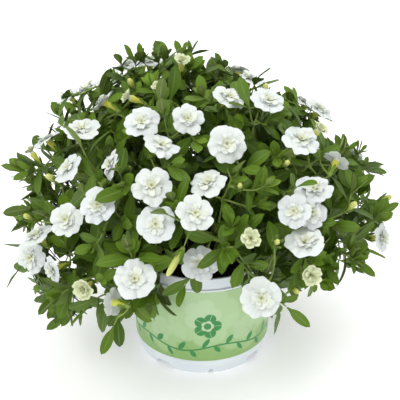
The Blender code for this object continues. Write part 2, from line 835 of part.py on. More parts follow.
def stem_paths():
    """Paths of the main stems: each stands upright in the soil, then arches out to the mound's surface. Feet
    and ends both follow the golden angle, and the outermost foot bears the lowest stem."""
    paths = []
    for k in range(MAIN_STEMS):
        share = (k + 0.5) / MAIN_STEMS
        turn = k * GOLDEN_ANGLE + FIRST_STEM_TURN
        out = Vector((math.cos(turn), math.sin(turn), 0))
        up = Vector((0, 0, 1))
        foot = out * CROWN_RADIUS * math.sqrt(share) + up * (SOIL_TOP - STEM_HOLE_DEPTH + TOUCH_GAP)
        neck = foot + up * (STEM_HOLE_DEPTH + 4)
        rise = 0.86 - 1.02 * share
        surface = on_mound(out * math.sqrt(1 - rise * rise) + up * rise)
        end = HEART + (surface - HEART) * 0.93
        lean = neck + up * 42 + out * 6
        draw_in = end - unit(out + up * (0.9 - share)) * (28 + 26 * share) + up * 16 * share
        paths.append([foot] + bezier(neck, lean, draw_in, end, 5))
    return paths


def shoot_path(start, tangent, tip, arrive, bend):
    reach = (tip - start).length
    return bezier(start, start + tangent * reach * 0.35 + bend, tip - arrive * reach * 0.35, tip, 4)


class Plant:
    """What grows on the main stems, let in piece by piece. A main stem's number owns all that it bears."""

    def __init__(self):
        self.garden = Garden()
        self.twigs = []
        self.blooms = {}
        self.garden.add("pot", turned(pot_profile(), POT_SIDES))
        ground = post(0, 0, SOIL_TOP - 3, SOIL_TOP + SOIL_BUMP + 1, COLLAR_RADIUS - WALL, 20)
        self.garden.add("soil", ground)
        self.mains = stem_paths()
        for owner, path in enumerate(self.mains):
            self.twigs.append((owner, Twig(path, STEM_RADIUS, MAIN_SEGMENTS, planted=True)))
            self.garden.add(owner, self.twigs[-1][1].shape())

    def open_blooms(self):
        """Blooms come first, since every one of them is known. One that would cross another group's is made
        smaller, and one that grows pressed to its own group is moved in until it does."""
        for group, centre, facing, size, number in bloom_plan():
            members = self.blooms.setdefault(group, [])
            pressed = not members
            for _ in range(PRESS_STEPS):
                shape = placed(bloom(size, 0.0, number, -1.0), centre, facing, number)
                pressed = pressed or self.presses(shape, group)
                if pressed:
                    break
                centre = centre + (members[0][0] - centre) * PRESS_SHARE
            for shrink in range(8):
                scale, centre = 1 - 0.035 * shrink, centre + outward(centre) * min(shrink, 1)
                shape = placed(bloom(size * scale, 0.0, number), centre, facing, number)
                tested = placed(bloom(size * scale, 0.0, number, CLEARANCE), centre, facing, number)
                if pressed and self.garden.clear(tested, ignore=(("bloom", group),)):
                    self.garden.add(("bloom", group), shape)
                    members.append((centre, facing, size * scale, number, shape))
                    break
            else:
                print("bloom", number, "of group", group, "has no room")
        self.blooms = {group: members for group, members in self.blooms.items() if members}

    def presses(self, shape, group):
        """Whether a bloom crosses another of its own group."""
        tree = BVHTree.FromPolygons(*shape)
        return any(tree.overlap(grown[2]) for owner, grown in self.garden.grown if owner == ("bloom", group))

    def side_shoot(self, key, tip, arrive, hub, segments):
        """A shoot from a main stem to a tip, past a hub that it should run close by."""
        choices = []
        for owner, path in enumerate(self.mains):
            for i in range(3, len(path)):
                tangent = unit(path[min(i + 1, len(path) - 1)] - path[i - 1])
                ahead = hub - path[i]
                if ahead.length > 12:
                    cost = ahead.length * (1.6 - unit(ahead).dot(tangent))
                    start = nearest_on_path(self.twigs[owner][1].axis, path[i])
                    choices.append((cost, owner, start, tangent))
        choices.sort(key=lambda choice: choice[0])
        draw = random.Random(f"shoot {key}")
        for attempt in range(SHOOT_TRIES):
            _, owner, start, tangent = choices[attempt // 3]
            bend = Vector([draw.uniform(-1, 1) * 7 * (attempt % 3) for _ in range(3)])
            path = shoot_path(start, tangent, tip, arrive, bend)
            if self.garden.clear(Twig(path, SHOOT_RADIUS + CLEARANCE, segments).shape(), ignore=(owner,)):
                twig = Twig(path, SHOOT_RADIUS, segments)
                self.twigs.append((owner, twig))
                self.garden.add(owner, twig.shape())
                return owner, twig
        return None

    def flower_stalk(self, owner, twig, centre, facing, spin, crown=None, most_walls=4):
        """A stalk from the nearest free wall of a twig, if there's room. Its outer part is clear of all."""
        foot = centre - facing * (TUBE_LENGTH + CALYX_DEPTH)
        walls = []
        for key in twig.free():
            middle, normal, way = twig.wall(key)
            ahead = foot - middle
            if ahead.length > 6:
                walls.append((ahead.length * (1.5 - unit(ahead).dot(normal)), key))
        for _, key in sorted(walls)[:most_walls]:
            middle, normal, way = twig.wall(key)
            reach = (foot - middle).length
            leave = unit(normal + way * 0.5)
            path = bezier(middle, middle + leave * reach * 0.4, foot - facing * reach * 0.4, foot, 3)
            path = [path[0], path[1], path[3]] if reach < 22 else path
            right = way.cross(normal)
            shape = stalk(path, right, centre, facing, spin, crown)
            tested = stalk(path, right, centre, facing, spin, None, CLEARANCE)
            outer = stalk(path[1:], right, centre, facing, spin, crown)
            if self.garden.clear(tested, ignore=(owner,)) and self.garden.clear(outer):
                twig.grow_on(key, shape)
                self.garden.add(owner, shape)
                return True
        return False

    def stalk_from_any(self, centre, facing, spin, crown=None):
        """A stalk from the nearest twig with a free wall and room."""
        foot = centre - facing * (TUBE_LENGTH + 8)
        nearest = sorted(
            (min((twig.wall(key)[0] - foot).length for key in twig.free()), number)
            for number, (_, twig) in enumerate(self.twigs)
            if twig.free()
        )
        return any(self.flower_stalk(*self.twigs[n], centre, facing, spin, crown) for _, n in nearest[:8])

    def bloom_shoots(self):
        """A shoot beside each group of blooms, on the first side with room, with a stalk to each bloom."""
        for group, members in self.blooms.items():
            centre, facing, size = members[0][:3]
            spin = random.Random(f"beside {group}").uniform(0, 2 * math.pi)
            for attempt in range(24):
                side, _ = frame_along(facing, spin + attempt * GOLDEN_ANGLE)
                lift = 0.35 if attempt < 9 else -0.1
                tip = centre + unit(side + Vector((0, 0, lift))) * (size / 2 + BESIDE_BLOOM) - facing * 5
                hub = centre - facing * (TUBE_LENGTH + 12) + side * 5
                arrive = unit(side * 0.5 + outward(tip) + Vector((0, 0, 0.4)))
                before = len(self.twigs), len(self.garden.grown)
                found = in_reach([tip]) and self.side_shoot(
                    f"{group} {attempt}", tip, arrive, hub, BLOOM_SHOOT_SEGMENTS
                )
                if found and all(self.stalk_from_any(at, look, turn) for at, look, _, turn, _ in members):
                    break
                self.twigs = self.twigs[: before[0]]
                self.garden.grown = self.garden.grown[: before[1]]
            else:
                print("no shoot found for bloom group", group)

    def filling_shoots(self):
        """Leafy shoots in the gaps, on spots spread by the golden angle, the widest gaps first."""
        spots = []
        for k in range(FILLING_SPOTS):
            rise = 0.98 - 1.80 * (k + 0.5) / FILLING_SPOTS
            turn = k * GOLDEN_ANGLE
            flat = math.sqrt(1 - rise * rise)
            spots.append(on_mound(Vector((flat * math.cos(turn), flat * math.sin(turn), rise))))
        taken = [member[0] for members in self.blooms.values() for member in members]
        taken += [twig.path[-1] for _, twig in self.twigs]
        grown = 0
        for number, (across, up) in enumerate(FRONT_TIPS):
            end = min(sight_line(across, up)[0], key=level)
            arrive = unit(outward(end) + Vector((0, 0, 0.2)))
            tip = end - arrive * LEAF_LENGTHS[0]
            taken.append(tip)
            if self.side_shoot(f"tip {number}", tip, arrive, tip - arrive * 30, FILLING_SEGMENTS) is None:
                print("no way out to tip", number)
        while grown < FILLING_SHOOTS and spots:
            spot = max(spots, key=lambda place: min((place - other).length for other in taken))
            spots.remove(spot)
            if min((spot - other).length for other in taken) < FILLING_ROOM:
                break
            bare = abs(spot.x) < BARE_FRONT_HALF_WIDTH and spot.y < 0 and spot.z < BARE_FRONT_TOP
            if bare or math.hypot(spot.x, spot.y) < COLLAR_RADIUS + 14 and spot.z < HEART.z:
                continue
            arrive = unit(outward(spot) + Vector((0, 0, 0.5)))
            taken.append(spot)
            hub = spot - arrive * 30
            grown += self.side_shoot(f"fill {grown}", spot, arrive, hub, FILLING_SEGMENTS) is not None
        print("filling shoots", grown)

    def small_flowers(self):
        """Half-open blooms and buds, each on a stalk from the nearest shoot with room."""
        wanted = []
        for number, (across, up, sink, size, turn, lift) in enumerate(FRONT_HALF_OPEN):
            crown = bloom(size, HALF_OPEN_CUP, HALF_OPEN_SEED + number)
            wanted.append((sighted(across, up, sink), facing_vector(turn, lift), crown))
        for across, up, length, turn, lift in FRONT_BUDS:
            facing = facing_vector(turn, lift)
            wanted.append((sighted(across, up) + facing * (TUBE_LENGTH - length / 2), facing, bud(length)))
        for number, (centre, facing, crown) in enumerate(wanted):
            if not self.stalk_from_any(centre, facing, number, crown):
                print("no room for small flower", number)

    def leaves(self):
        """Leaves on the walls of the leafy segments, the walls that face out of the mound first, and one at
        each tip. A leaf is left out where no turn or droop gives it room."""
        grown = 0
        for number, (owner, twig) in enumerate(self.twigs):
            walls = {}
            for key in twig.leafy:
                walls.setdefault(key[0], []).append(key)
            jobs = [(None, 0)]
            for order, (ring, keys) in enumerate(sorted(walls.items(), reverse=True)):
                middle = twig.wall(keys[0])[0]
                light = outward(middle) + Vector((0, 0, 0.4))
                keys = [key for key in keys if key not in twig.used]
                keys.sort(key=lambda key: -twig.wall(key)[1].dot(light))
                jobs += [(key, order + 1) for key in keys[:LEAVES_PER_SEGMENT]]
            for key, order in jobs:
                draw = random.Random(f"leaf {number} {key}")
                length = draw.uniform(*LEAF_LENGTHS) * (0.72, 0.84, 1.0, 1.0, 1.0)[order]
                width = length * draw.uniform(*LEAF_WIDTH_SHARES)
                for attempt in range(LEAF_TRIES):
                    droop = draw.uniform(0.1, 0.5) + 0.12 * order
                    sway = draw.uniform(-0.45, 0.45) if attempt else 0.0
                    if key is None:
                        root, along = twig.path[-1], twig.tip_way
                        face = unit(root - twig.verts[twig.tip_ring[0]])
                    else:
                        root, normal, way = twig.wall(key)
                        spread = (0.70, 0.80, 1.0, 1.15, 1.25)[order] + draw.uniform(-0.15, 0.15)
                        radial = Matrix.Rotation(sway, 3, way) @ normal
                        along = unit(way * math.cos(spread) + radial * math.sin(spread))
                        face = unit(way * math.sin(spread) - radial * math.cos(spread))
                    shape = leaf(root, along, face, length, width, droop)
                    tested = leaf(root, along, face, length, width, droop, CLEARANCE)
                    outer = leaf(root + along * length * OUTER_SHARE, along, face, length * 0.7, width, droop)
                    if not in_reach(shape[0]) or not self.garden.clear(tested, ignore=(owner,)):
                        continue
                    if not self.garden.clear(outer):
                        continue
                    if key is None:
                        twig.grow_tip(shape)
                    else:
                        twig.grow_on(key, shape)
                    self.garden.add(owner, shape)
                    grown += 1
                    break
        print("leaves", grown)


def build():
    for old in list(bpy.data.objects):
        bpy.data.objects.remove(old)
    plastic = material("white plastic", (0.80, 0.84, 0.87), 0.32)
    printed = material("printed band", (0.36, 0.52, 0.24), 0.35)
    peat = material("peat", (0.018, 0.013, 0.009), 0.95)
    plant = Plant()
    pot(plastic)
    band(printed)
    soil(peat, [path[0] for path in plant.mains])
    plant.open_blooms()
    plant.bloom_shoots()
    plant.filling_shoots()
    plant.small_flowers()
    plant.leaves()
    for number in range(MAIN_STEMS):
        green = material(f"leafy stem {number + 1}", (0.07, 0.17, 0.03), 0.42)
        shapes = [twig.shape() for owner, twig in plant.twigs if owner == number]
        made = mesh_object(f"stem_{number + 1:02d}", shapes[0], green)
        if shapes[1:]:
            # The exact solver leaves loose scraps where thin shoots meet at a slant, so another is used
            combine(made, shapes[1:], "UNION", green, solver="MANIFOLD")
    for number, members in enumerate(plant.blooms.values()):
        white = material(f"petals {number + 1}", (0.86, 0.87, 0.82), 0.55)
        made = mesh_object(f"bloom_{number + 1:02d}", members[0][4], white)
        if members[1:]:
            combine(made, [member[4] for member in members[1:]], "UNION", white)
    total = 0
    for made in bpy.data.objects:
        made.data.calc_loop_triangles()
        total += len(made.data.loop_triangles)
        print(made.name, len(made.data.loop_triangles))
    print("triangles", total)


build()
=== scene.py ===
# %% [markdown]
# A double calibrachoa in its pot
#
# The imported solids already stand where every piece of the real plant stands: the pot, its printed band, the
# soil, thirteen leafy stems and forty-seven open blooms. They are plain and faceted. This lesson reads each
# leaf, bloom, calyx and bud back out of those solids and grows a finer one in exactly that place. Then it
# adds what solids can't afford: the small leaves that make the mound dense, the frills of the petals, the
# crumbs of the soil. Lengths are in metres. Small ones are often written in millimetres, and multiplied by
# MM where they are used. +Z is up and the front of the plant faces -Y.

# %% Load the frame
import functools
import json
import math
import random

import bmesh
import bpy
import numpy as np
from mathutils import Matrix, Vector, noise
from mathutils.kdtree import KDTree

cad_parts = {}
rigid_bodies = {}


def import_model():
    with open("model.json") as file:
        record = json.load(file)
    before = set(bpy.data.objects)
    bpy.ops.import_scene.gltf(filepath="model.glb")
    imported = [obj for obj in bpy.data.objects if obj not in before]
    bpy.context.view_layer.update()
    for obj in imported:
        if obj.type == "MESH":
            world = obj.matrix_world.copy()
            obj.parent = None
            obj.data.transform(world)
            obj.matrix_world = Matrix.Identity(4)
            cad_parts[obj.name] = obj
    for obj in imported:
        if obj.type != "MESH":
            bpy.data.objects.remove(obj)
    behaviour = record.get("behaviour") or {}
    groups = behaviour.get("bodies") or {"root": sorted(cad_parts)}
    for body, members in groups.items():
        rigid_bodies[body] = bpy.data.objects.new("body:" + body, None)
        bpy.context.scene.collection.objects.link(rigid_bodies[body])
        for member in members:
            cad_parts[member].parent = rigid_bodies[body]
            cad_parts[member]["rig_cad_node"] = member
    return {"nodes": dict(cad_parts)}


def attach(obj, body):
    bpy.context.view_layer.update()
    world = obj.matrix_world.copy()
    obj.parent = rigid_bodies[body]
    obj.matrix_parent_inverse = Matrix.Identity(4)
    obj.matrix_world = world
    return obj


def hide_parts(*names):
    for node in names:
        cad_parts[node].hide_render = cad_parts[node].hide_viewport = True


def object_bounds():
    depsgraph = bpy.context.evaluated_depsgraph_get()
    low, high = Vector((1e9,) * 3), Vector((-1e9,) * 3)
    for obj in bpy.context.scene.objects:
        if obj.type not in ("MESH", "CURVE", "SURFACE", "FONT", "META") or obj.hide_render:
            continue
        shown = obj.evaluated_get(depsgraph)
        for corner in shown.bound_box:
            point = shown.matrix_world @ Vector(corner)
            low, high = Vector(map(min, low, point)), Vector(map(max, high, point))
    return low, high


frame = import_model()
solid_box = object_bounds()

MM = 0.001
UP = Vector((0, 0, 1))
GOLDEN_ANGLE = math.radians(137.508)
LOBES = 5
FULL_TURN = 2 * math.pi
print("nodes in the frame:", len(frame["nodes"]))

# %% [markdown]
# The camera stands where the photographer stood: about a metre in front of the plant and looking down at it
# by 27 degrees, through a long lens. It is set first, because a few choices further on ask what the camera
# sees, such as which leaves would hide a bloom.

# %% The camera
EYE_LIFT = math.radians(27)
EYE_RANGE = 1.100
EYE_CENTRE = (-0.002, 0.137)
LENS = 99

view_rise = Vector((0, math.sin(EYE_LIFT), math.cos(EYE_LIFT)))
view_gaze = Vector((0, math.cos(EYE_LIFT), -math.sin(EYE_LIFT)))
eye = Vector((EYE_CENTRE[0], 0, 0)) + view_rise * EYE_CENTRE[1] - view_gaze * EYE_RANGE
camera_data = bpy.data.cameras.new("camera")
camera_data.lens = LENS
camera = bpy.data.objects.new("camera", camera_data)
bpy.context.scene.collection.objects.link(camera)
camera.location = eye
camera.rotation_euler = (math.pi / 2 - EYE_LIFT, 0, 0)
bpy.context.scene.camera = camera
print("camera at", [round(c, 3) for c in eye])

# %% [markdown]
# Materials are written as sums. `Shade` wraps one output socket of a node, and arithmetic on it adds Math
# nodes, so that `1 - mask` reads as it would on paper.


# %% Shader maths
class Shade:
    """One output socket. Arithmetic on it adds Math nodes to its finish."""

    def __init__(self, finish, socket):
        self.finish, self.socket = finish, socket

    def math(self, operation, *terms):
        return self.finish.node("Math", {"operation": operation}, dict(enumerate(terms)))

    def __add__(self, other):
        return self.math("ADD", self, other)

    def __sub__(self, other):
        return self.math("SUBTRACT", self, other)

    def __rsub__(self, other):
        return self.math("SUBTRACT", other, self)

    def __mul__(self, other):
        return self.math("MULTIPLY", self, other)

    def __truediv__(self, other):
        return self.math("DIVIDE", self, other)

    def __pow__(self, other):
        return self.math("POWER", self, other)

    def __abs__(self):
        return self.math("ABSOLUTE", self)

    def __mod__(self, other):
        return self.math("FLOORED_MODULO", self, other)

    __radd__, __rmul__ = __add__, __mul__

    def sine(self):
        return self.math("SINE", self)

    def cosine(self):
        return self.math("COSINE", self)

    def smaller(self, other):
        return self.math("MINIMUM", self, other)

    def larger(self, other):
        return self.math("MAXIMUM", self, other)

    def step(self, low, high):
        """0 below low, 1 above high and smooth between them. With low above high it falls instead."""
        sockets = {"Value": self, "From Min": low, "From Max": high, "To Min": 0.0, "To Max": 1.0}
        if low > high:
            sockets |= {"From Min": high, "From Max": low, "To Min": 1.0, "To Max": 0.0}
        return self.finish.node("MapRange", {"interpolation_type": "SMOOTHSTEP"}, sockets)


# %% [markdown]
# `Finish` owns one material and adds every other kind of node through one method: its type, its settings,
# then what its sockets get. Noise is taken in the piece's own space, so it keeps its scale on every piece.


# %% Finishes
class Finish:
    """One material: a Principled shader and the nodes that feed it."""

    def __init__(self, name, **settings):
        self.data = bpy.data.materials.new(name)
        self.data.use_nodes = True
        self.tree = self.data.node_tree
        self.shader = self.tree.nodes["Principled BSDF"]
        for key, value in settings.items():
            self.shader.inputs[key.replace("_", " ").title().replace("Ior", "IOR")].default_value = value

    def node(self, kind, settings=None, sockets=None, output=0):
        """Add a node: its settings first, then the values or links of its sockets."""
        made = self.tree.nodes.new("ShaderNode" + kind)
        for key, value in (settings or {}).items():
            setattr(made, key, value)
        for key, value in (sockets or {}).items():
            self.feed(made.inputs[key], value)
        return Shade(self, made.outputs[output])

    def feed(self, socket, value):
        if isinstance(value, Shade):
            self.tree.links.new(value.socket, socket)
        elif isinstance(value, tuple) and len(value) == 3 and socket.type == "RGBA":
            socket.default_value = (*value, 1)
        else:
            socket.default_value = value

    def mix(self, share, first, second):
        """A colour between two colours."""
        sockets = {0: share, 6: first, 7: second}
        return self.node("Mix", {"data_type": "RGBA"}, sockets, output=2)

    def noise(self, scale, detail=2.0, roughness=0.5):
        """Soft noise in the piece's own space."""
        where = self.node("TexCoord", output="Object")
        sockets = {"Vector": where, "Scale": scale, "Detail": detail, "Roughness": roughness}
        return self.node("TexNoise", {}, sockets)

    def map(self, name):
        """The two numbers of a UV map."""
        uv = self.node("UVMap", {"uv_map": name})
        return tuple(self.node("SeparateXYZ", {}, {0: uv}, output=k) for k in range(2))

    def bump(self, height, distance, strength=1.0):
        sockets = {"Height": height, "Distance": distance, "Strength": strength}
        self.feed(self.shader.inputs["Normal"], self.node("Bump", {}, sockets))

    def set(self, socket, value):
        self.feed(self.shader.inputs[socket], value)

    def let_light_through(self, share, colour):
        """Mix in a share of light that comes through the sheet from behind."""
        output = self.tree.nodes["Material Output"]
        through = self.node("BsdfTranslucent", {}, {"Color": colour})
        both = self.node("MixShader", {}, {0: share, 1: Shade(self, self.shader.outputs[0]), 2: through})
        self.tree.links.new(both.socket, output.inputs["Surface"])


# %% [markdown]
# The pot is injection-moulded, white and a little translucent, so its shade looks faintly blue. One soft
# colour with slow unevenness, and a very fine grain in the bump, is what such plastic shows from a step
# away.


# %% White plastic
PLASTIC_SHADE = (0.73, 0.79, 0.84)
PLASTIC_LIGHT = (0.80, 0.85, 0.88)


def pot_plastic():
    finish = Finish("pot plastic", roughness=0.34, ior=1.47)
    cloud = finish.noise(18.0, detail=3.0)
    finish.set("Base Color", finish.mix(cloud.step(0.35, 0.7), PLASTIC_SHADE, PLASTIC_LIGHT))
    finish.set("Roughness", 0.30 + 0.12 * finish.noise(60.0))
    finish.bump(finish.noise(900.0), 0.05 * MM, strength=0.25)
    return finish.data


# %% [markdown]
# The band is a printed plastic sleeve: a leaf-green ground that fades paler, with large pale blossoms
# ghosted over it. The print here is a pattern of its own. Big ghosted blossoms stand round the band, a vine
# with paired leaves runs round its lower edge, and three dark green blossoms stand above the vine. The
# sleeve's map is in millimetres, along the band and up it, so that each motif is drawn at its true size.

# %% The printed sleeve
BAND_BOTTOM = 17.0
BAND_TOP = 93.0
BAND_RADIUS = 66.0
BAND_LENGTH = 2 * math.pi * BAND_RADIUS
VINE_HEIGHT = 31.0
VINE_SWING = 3.2
VINE_LEAF_PAIRS = 18
DARK_BLOSSOMS = 3
DARK_BLOSSOM_HEIGHT = 56.0
DARK_BLOSSOM_RADIUS = 13.5
GHOST_BLOSSOMS = 5
GHOST_HEIGHT = 68.0
GHOST_RADIUS = 36.0
GHOST_RINGS = (
    {"turn": 0.0, "lift": 0.0, "size": 1.0, "strength": 0.62},
    {"turn": 0.5, "lift": -21.0, "size": 0.72, "strength": 0.42},
)
BAND_DEEP = (0.235, 0.420, 0.115)
BAND_PALE = (0.420, 0.590, 0.300)
GHOST_GREEN = (0.475, 0.665, 0.375)
GHOST_HEART_GREEN = (0.60, 0.76, 0.54)
PRINT_GREEN = (0.035, 0.250, 0.060)


def repeat(along, pitch, first=0.0):
    """Distance along from the middle of the nearest repeat."""
    return (along - first + pitch / 2) % pitch - pitch / 2


def blossom_mask(x, y, radius, edge, notch):
    """1 inside a five-petalled blossom, with its rim softened over `edge`."""
    angle = x.math("ARCTAN2", y, x)
    reach = (x * x + y * y) ** 0.5
    rim = radius * (1 - notch + notch * abs((angle * (LOBES / 2)).cosine()) ** 0.6)
    return (reach - rim).step(edge, -edge)


def vine_leaf_mask(x, y, turn, start, length, width):
    """1 inside a pointed leaf that leaves the origin at an angle."""
    across, along = math.sin(turn), math.cos(turn)
    run = (x * along + y * across - start) / length
    side = y * along - x * across
    inside = run.larger(0.0).smaller(1.0)
    half = width * (inside * (1 - inside) * 4) ** 0.75
    return (abs(side) - half).step(0.35, -0.35)


print("pitch of the ghosted blossoms:", round(BAND_LENGTH / GHOST_BLOSSOMS, 1), "mm")

# %% [markdown]
# The layers of the print go over each other as in a press: the fading ground, the ghosted blossoms, then
# all that is dark green at once.


# %% Print the sleeve
def ghosted(finish, ground, along, height):
    """The ground with two rings of large pale blossoms over it."""
    pitch = BAND_LENGTH / GHOST_BLOSSOMS
    for ring in GHOST_RINGS:
        x = repeat(along, pitch, ring["turn"] * pitch)
        y = height - (GHOST_HEIGHT + ring["lift"])
        radius = GHOST_RADIUS * ring["size"]
        petals = blossom_mask(x, y, radius, 2.5, 0.22)
        frill = blossom_mask(x, y, radius * 0.5, 1.5, 0.30)
        ground = finish.mix(petals * ring["strength"], ground, GHOST_GREEN)
        ground = finish.mix(frill * ring["strength"] * 0.55, ground, GHOST_HEART_GREEN)
    return ground


def vine(along, height):
    """1 on a wavy stem and on its leaves, which stand above and below it in turn."""
    wave = (along * (2 * math.pi * LOBES / BAND_LENGTH)).sine() * VINE_SWING
    y = height - VINE_HEIGHT - wave
    pitch = BAND_LENGTH / VINE_LEAF_PAIRS
    upper = vine_leaf_mask(repeat(along, pitch), y, 0.95, 0.3, 11.5, 2.5)
    lower = vine_leaf_mask(repeat(along, pitch, pitch / 2), y, -0.95, 0.3, 9.5, 2.2)
    return abs(y).step(1.15, 0.55).larger(upper).larger(lower)


def dark_blossoms(along, height):
    """1 on five petals, less a ring round a dot and fine lines from it."""
    x = repeat(along, BAND_LENGTH / DARK_BLOSSOMS, BAND_LENGTH * 0.012)
    y = height - DARK_BLOSSOM_HEIGHT
    petals = blossom_mask(x, y, DARK_BLOSSOM_RADIUS, 0.35, 0.34)
    ring = blossom_mask(x, y, DARK_BLOSSOM_RADIUS * 0.46, 0.35, 0.25)
    dot = blossom_mask(x, y, DARK_BLOSSOM_RADIUS * 0.26, 0.3, 0.0)
    spokes = abs((x.math("ARCTAN2", y, x) * LOBES / 2).sine()).step(0.10, 0.02)
    return petals * (1 - ring + dot) * (1 - spokes * 0.8)


def printed_band():
    finish = Finish("printed band", roughness=0.3, ior=1.48, coat_weight=0.15, coat_roughness=0.2)
    along, height = finish.map("sleeve")
    fade = (height / BAND_TOP).step(0.15, 1.0) * 0.75 + finish.noise(14.0) * 0.25
    ground = ghosted(finish, finish.mix(fade, BAND_DEEP, BAND_PALE), along, height)
    printed = vine(along, height).larger(dark_blossoms(along, height))
    finish.set("Base Color", finish.mix(printed, ground, PRINT_GREEN))
    finish.set("Roughness", 0.28 + 0.10 * finish.noise(40.0))
    finish.bump(finish.noise(700.0), 0.04 * MM, strength=0.2)
    return finish.data


# %% [markdown]
# Peat is nearly black when moist, with brown fibres. Its roughness is high everywhere except where a wet
# crumb catches the light.


# %% Peat
MOIST_PEAT = (0.006, 0.005, 0.004)
DRY_PEAT = (0.045, 0.028, 0.016)


def peat():
    finish = Finish("peat", roughness=0.9)
    crumbs = finish.noise(420.0, detail=5.0, roughness=0.65)
    finish.set("Base Color", finish.mix(crumbs.step(0.35, 0.75), MOIST_PEAT, DRY_PEAT))
    finish.set("Roughness", 0.95 - 0.35 * crumbs.step(0.55, 0.8))
    finish.bump(crumbs, 1.2 * MM, strength=0.8)
    return finish.data


# %% [markdown]
# A leaf carries two maps. "blade" runs from edge to edge and from root to tip, and draws the pale midrib,
# the side veins that sweep forward from it and the slight swelling between them. "growth_and_light" holds
# two numbers that are the same all over one leaf: a tone of its own, and how young it is, since young
# leaves are a lighter, yellower green. On the small shoots both also carry painted light: the tone is
# lowered deep inside the mound as painted shade, and the young green is raised near its top as painted
# sunlight. The underside is a greyer, paler green and more matt, and it is a finish of its own.


# %% The leaf's two sides
LEAF_DARK = (0.038, 0.078, 0.004)
LEAF_LIGHT = (0.098, 0.190, 0.011)
LEAF_YOUNG_AND_LIT = (0.185, 0.310, 0.024)
LEAF_BLOTCH = (0.105, 0.195, 0.016)
LEAF_VEIN = (0.165, 0.255, 0.045)
LEAF_RIB = (0.215, 0.310, 0.080)
LEAF_RIM = (0.180, 0.270, 0.050)
LEAF_GLOW = (0.24, 0.42, 0.012)
UNDERSIDE_DARK = (0.095, 0.145, 0.024)
UNDERSIDE_LIGHT = (0.165, 0.230, 0.055)
UNDERSIDE_YOUNG_AND_LIT = (0.250, 0.340, 0.070)
UNDERSIDE_RIB = (0.320, 0.380, 0.200)
UNDERSIDE_GLOW = (0.25, 0.42, 0.03)
LIGHT_THROUGH_LEAF = 0.20
SIDE_VEINS = 7.5


def leaf_patterns(finish):
    """How far out and along a blade a point is, tone, youth and painted light, and the midrib and side veins.
    """
    across, along = finish.map("blade")
    tone, youth_and_light = finish.map("growth_and_light")
    out = abs(across * 2 - 1)
    rib = out.step(0.13, 0.03)
    sweep = (along * SIDE_VEINS - out * 1.5) % 1.0
    veins = abs(sweep - 0.5).step(0.10, 0.0) * out.step(1.0, 0.6) * (1 - rib)
    return out, tone, youth_and_light, rib, veins


def leaf_top():
    finish = Finish("leaf", roughness=0.38, ior=1.45, specular_ior_level=0.26)
    out, tone, youth_and_light, rib, veins = leaf_patterns(finish)
    blotch = finish.noise(55.0, detail=3.0)
    # Painted shade: a low tone, given to leaves deep inside the mound, takes them towards the dark green.
    green = finish.mix(tone, LEAF_DARK, LEAF_LIGHT)
    # Painted sunlight: the young, yellower green is raised for leaves near the mound's top and cut inside it.
    green = finish.mix(youth_and_light, green, LEAF_YOUNG_AND_LIT)
    green = finish.mix(blotch.step(0.35, 0.75) * 0.30, green, LEAF_BLOTCH)
    green = finish.mix(veins * 0.22, green, LEAF_VEIN)
    green = finish.mix(rib * 0.50, green, LEAF_RIB)
    green = finish.mix(out.step(0.86, 1.0) * 0.25, green, LEAF_RIM)
    finish.set("Base Color", green)
    finish.set("Roughness", 0.27 + 0.22 * finish.noise(130.0) + 0.12 * tone)
    height = (1 - rib) * 0.6 - veins * 0.35 + finish.noise(260.0, detail=3.0) * 0.5
    finish.bump(height, 0.35 * MM, strength=0.55)
    finish.let_light_through(LIGHT_THROUGH_LEAF, LEAF_GLOW)
    return finish.data


def leaf_underside():
    finish = Finish("leaf underside", roughness=0.6, ior=1.42, specular_ior_level=0.3)
    _, tone, youth_and_light, rib, veins = leaf_patterns(finish)
    # Painted shade: a low tone, given to leaves deep inside the mound, darkens the underside too.
    green = finish.mix(tone, UNDERSIDE_DARK, UNDERSIDE_LIGHT)
    # Painted sunlight: the underside's young green follows the same painted light.
    green = finish.mix(youth_and_light * 0.6, green, UNDERSIDE_YOUNG_AND_LIT)
    green = finish.mix((rib * 0.8).larger(veins * 0.3), green, UNDERSIDE_RIB)
    finish.set("Base Color", green)
    finish.set("Roughness", 0.55 + 0.12 * finish.noise(130.0))
    finish.bump(rib + veins * 0.5 + finish.noise(300.0) * 0.3, 0.4 * MM, strength=0.6)
    finish.let_light_through(LIGHT_THROUGH_LEAF, UNDERSIDE_GLOW)
    return finish.data


# %% [markdown]
# A young stem is a plain green, with fine fibres along it. Noise at the scale of a fibre is enough for
# something two millimetres thick.


# %% The stem's skin
STEM_SHADE = (0.100, 0.155, 0.018)
STEM_LIGHT = (0.210, 0.300, 0.055)


def stem_skin():
    finish = Finish("stem skin", roughness=0.5, ior=1.42)
    fibre = finish.noise(240.0, detail=3.0)
    finish.set("Base Color", finish.mix(fibre, STEM_SHADE, STEM_LIGHT))
    finish.bump(fibre, 0.2 * MM, strength=0.5)
    return finish.data


SHEET_FINISHES = [leaf_top(), leaf_underside(), stem_skin()]
print("finishes of a leafy piece:", [finish.name for finish in SHEET_FINISHES])

# %% [markdown]
# Petals are white and thin, so light soaks through them and their shade is a soft, faintly blue grey. The
# map "petal" runs round the bloom and from its heart (0) to its rim (1). On the back it goes on below 0
# down the tube, which is a greenish yellow. The map "bloom" says whether a face is front or back, and how
# much the bloom is still the cream of a bud.


# %% Petals
PETAL_SHADE = (0.690, 0.740, 0.775)
PETAL_WHITE = (0.800, 0.835, 0.830)
PETAL_CREAM = (0.730, 0.780, 0.420)
HEART_CREAM = (0.740, 0.765, 0.400)
EYE_GREEN = (0.520, 0.560, 0.110)
VEIN_CREAM = (0.680, 0.730, 0.460)
TUBE_YELLOW = (0.650, 0.670, 0.060)
TUBE_FOOT = (0.480, 0.540, 0.090)
PETAL_GLOW = (0.92, 0.93, 0.86)
PETAL_VEINS = 45


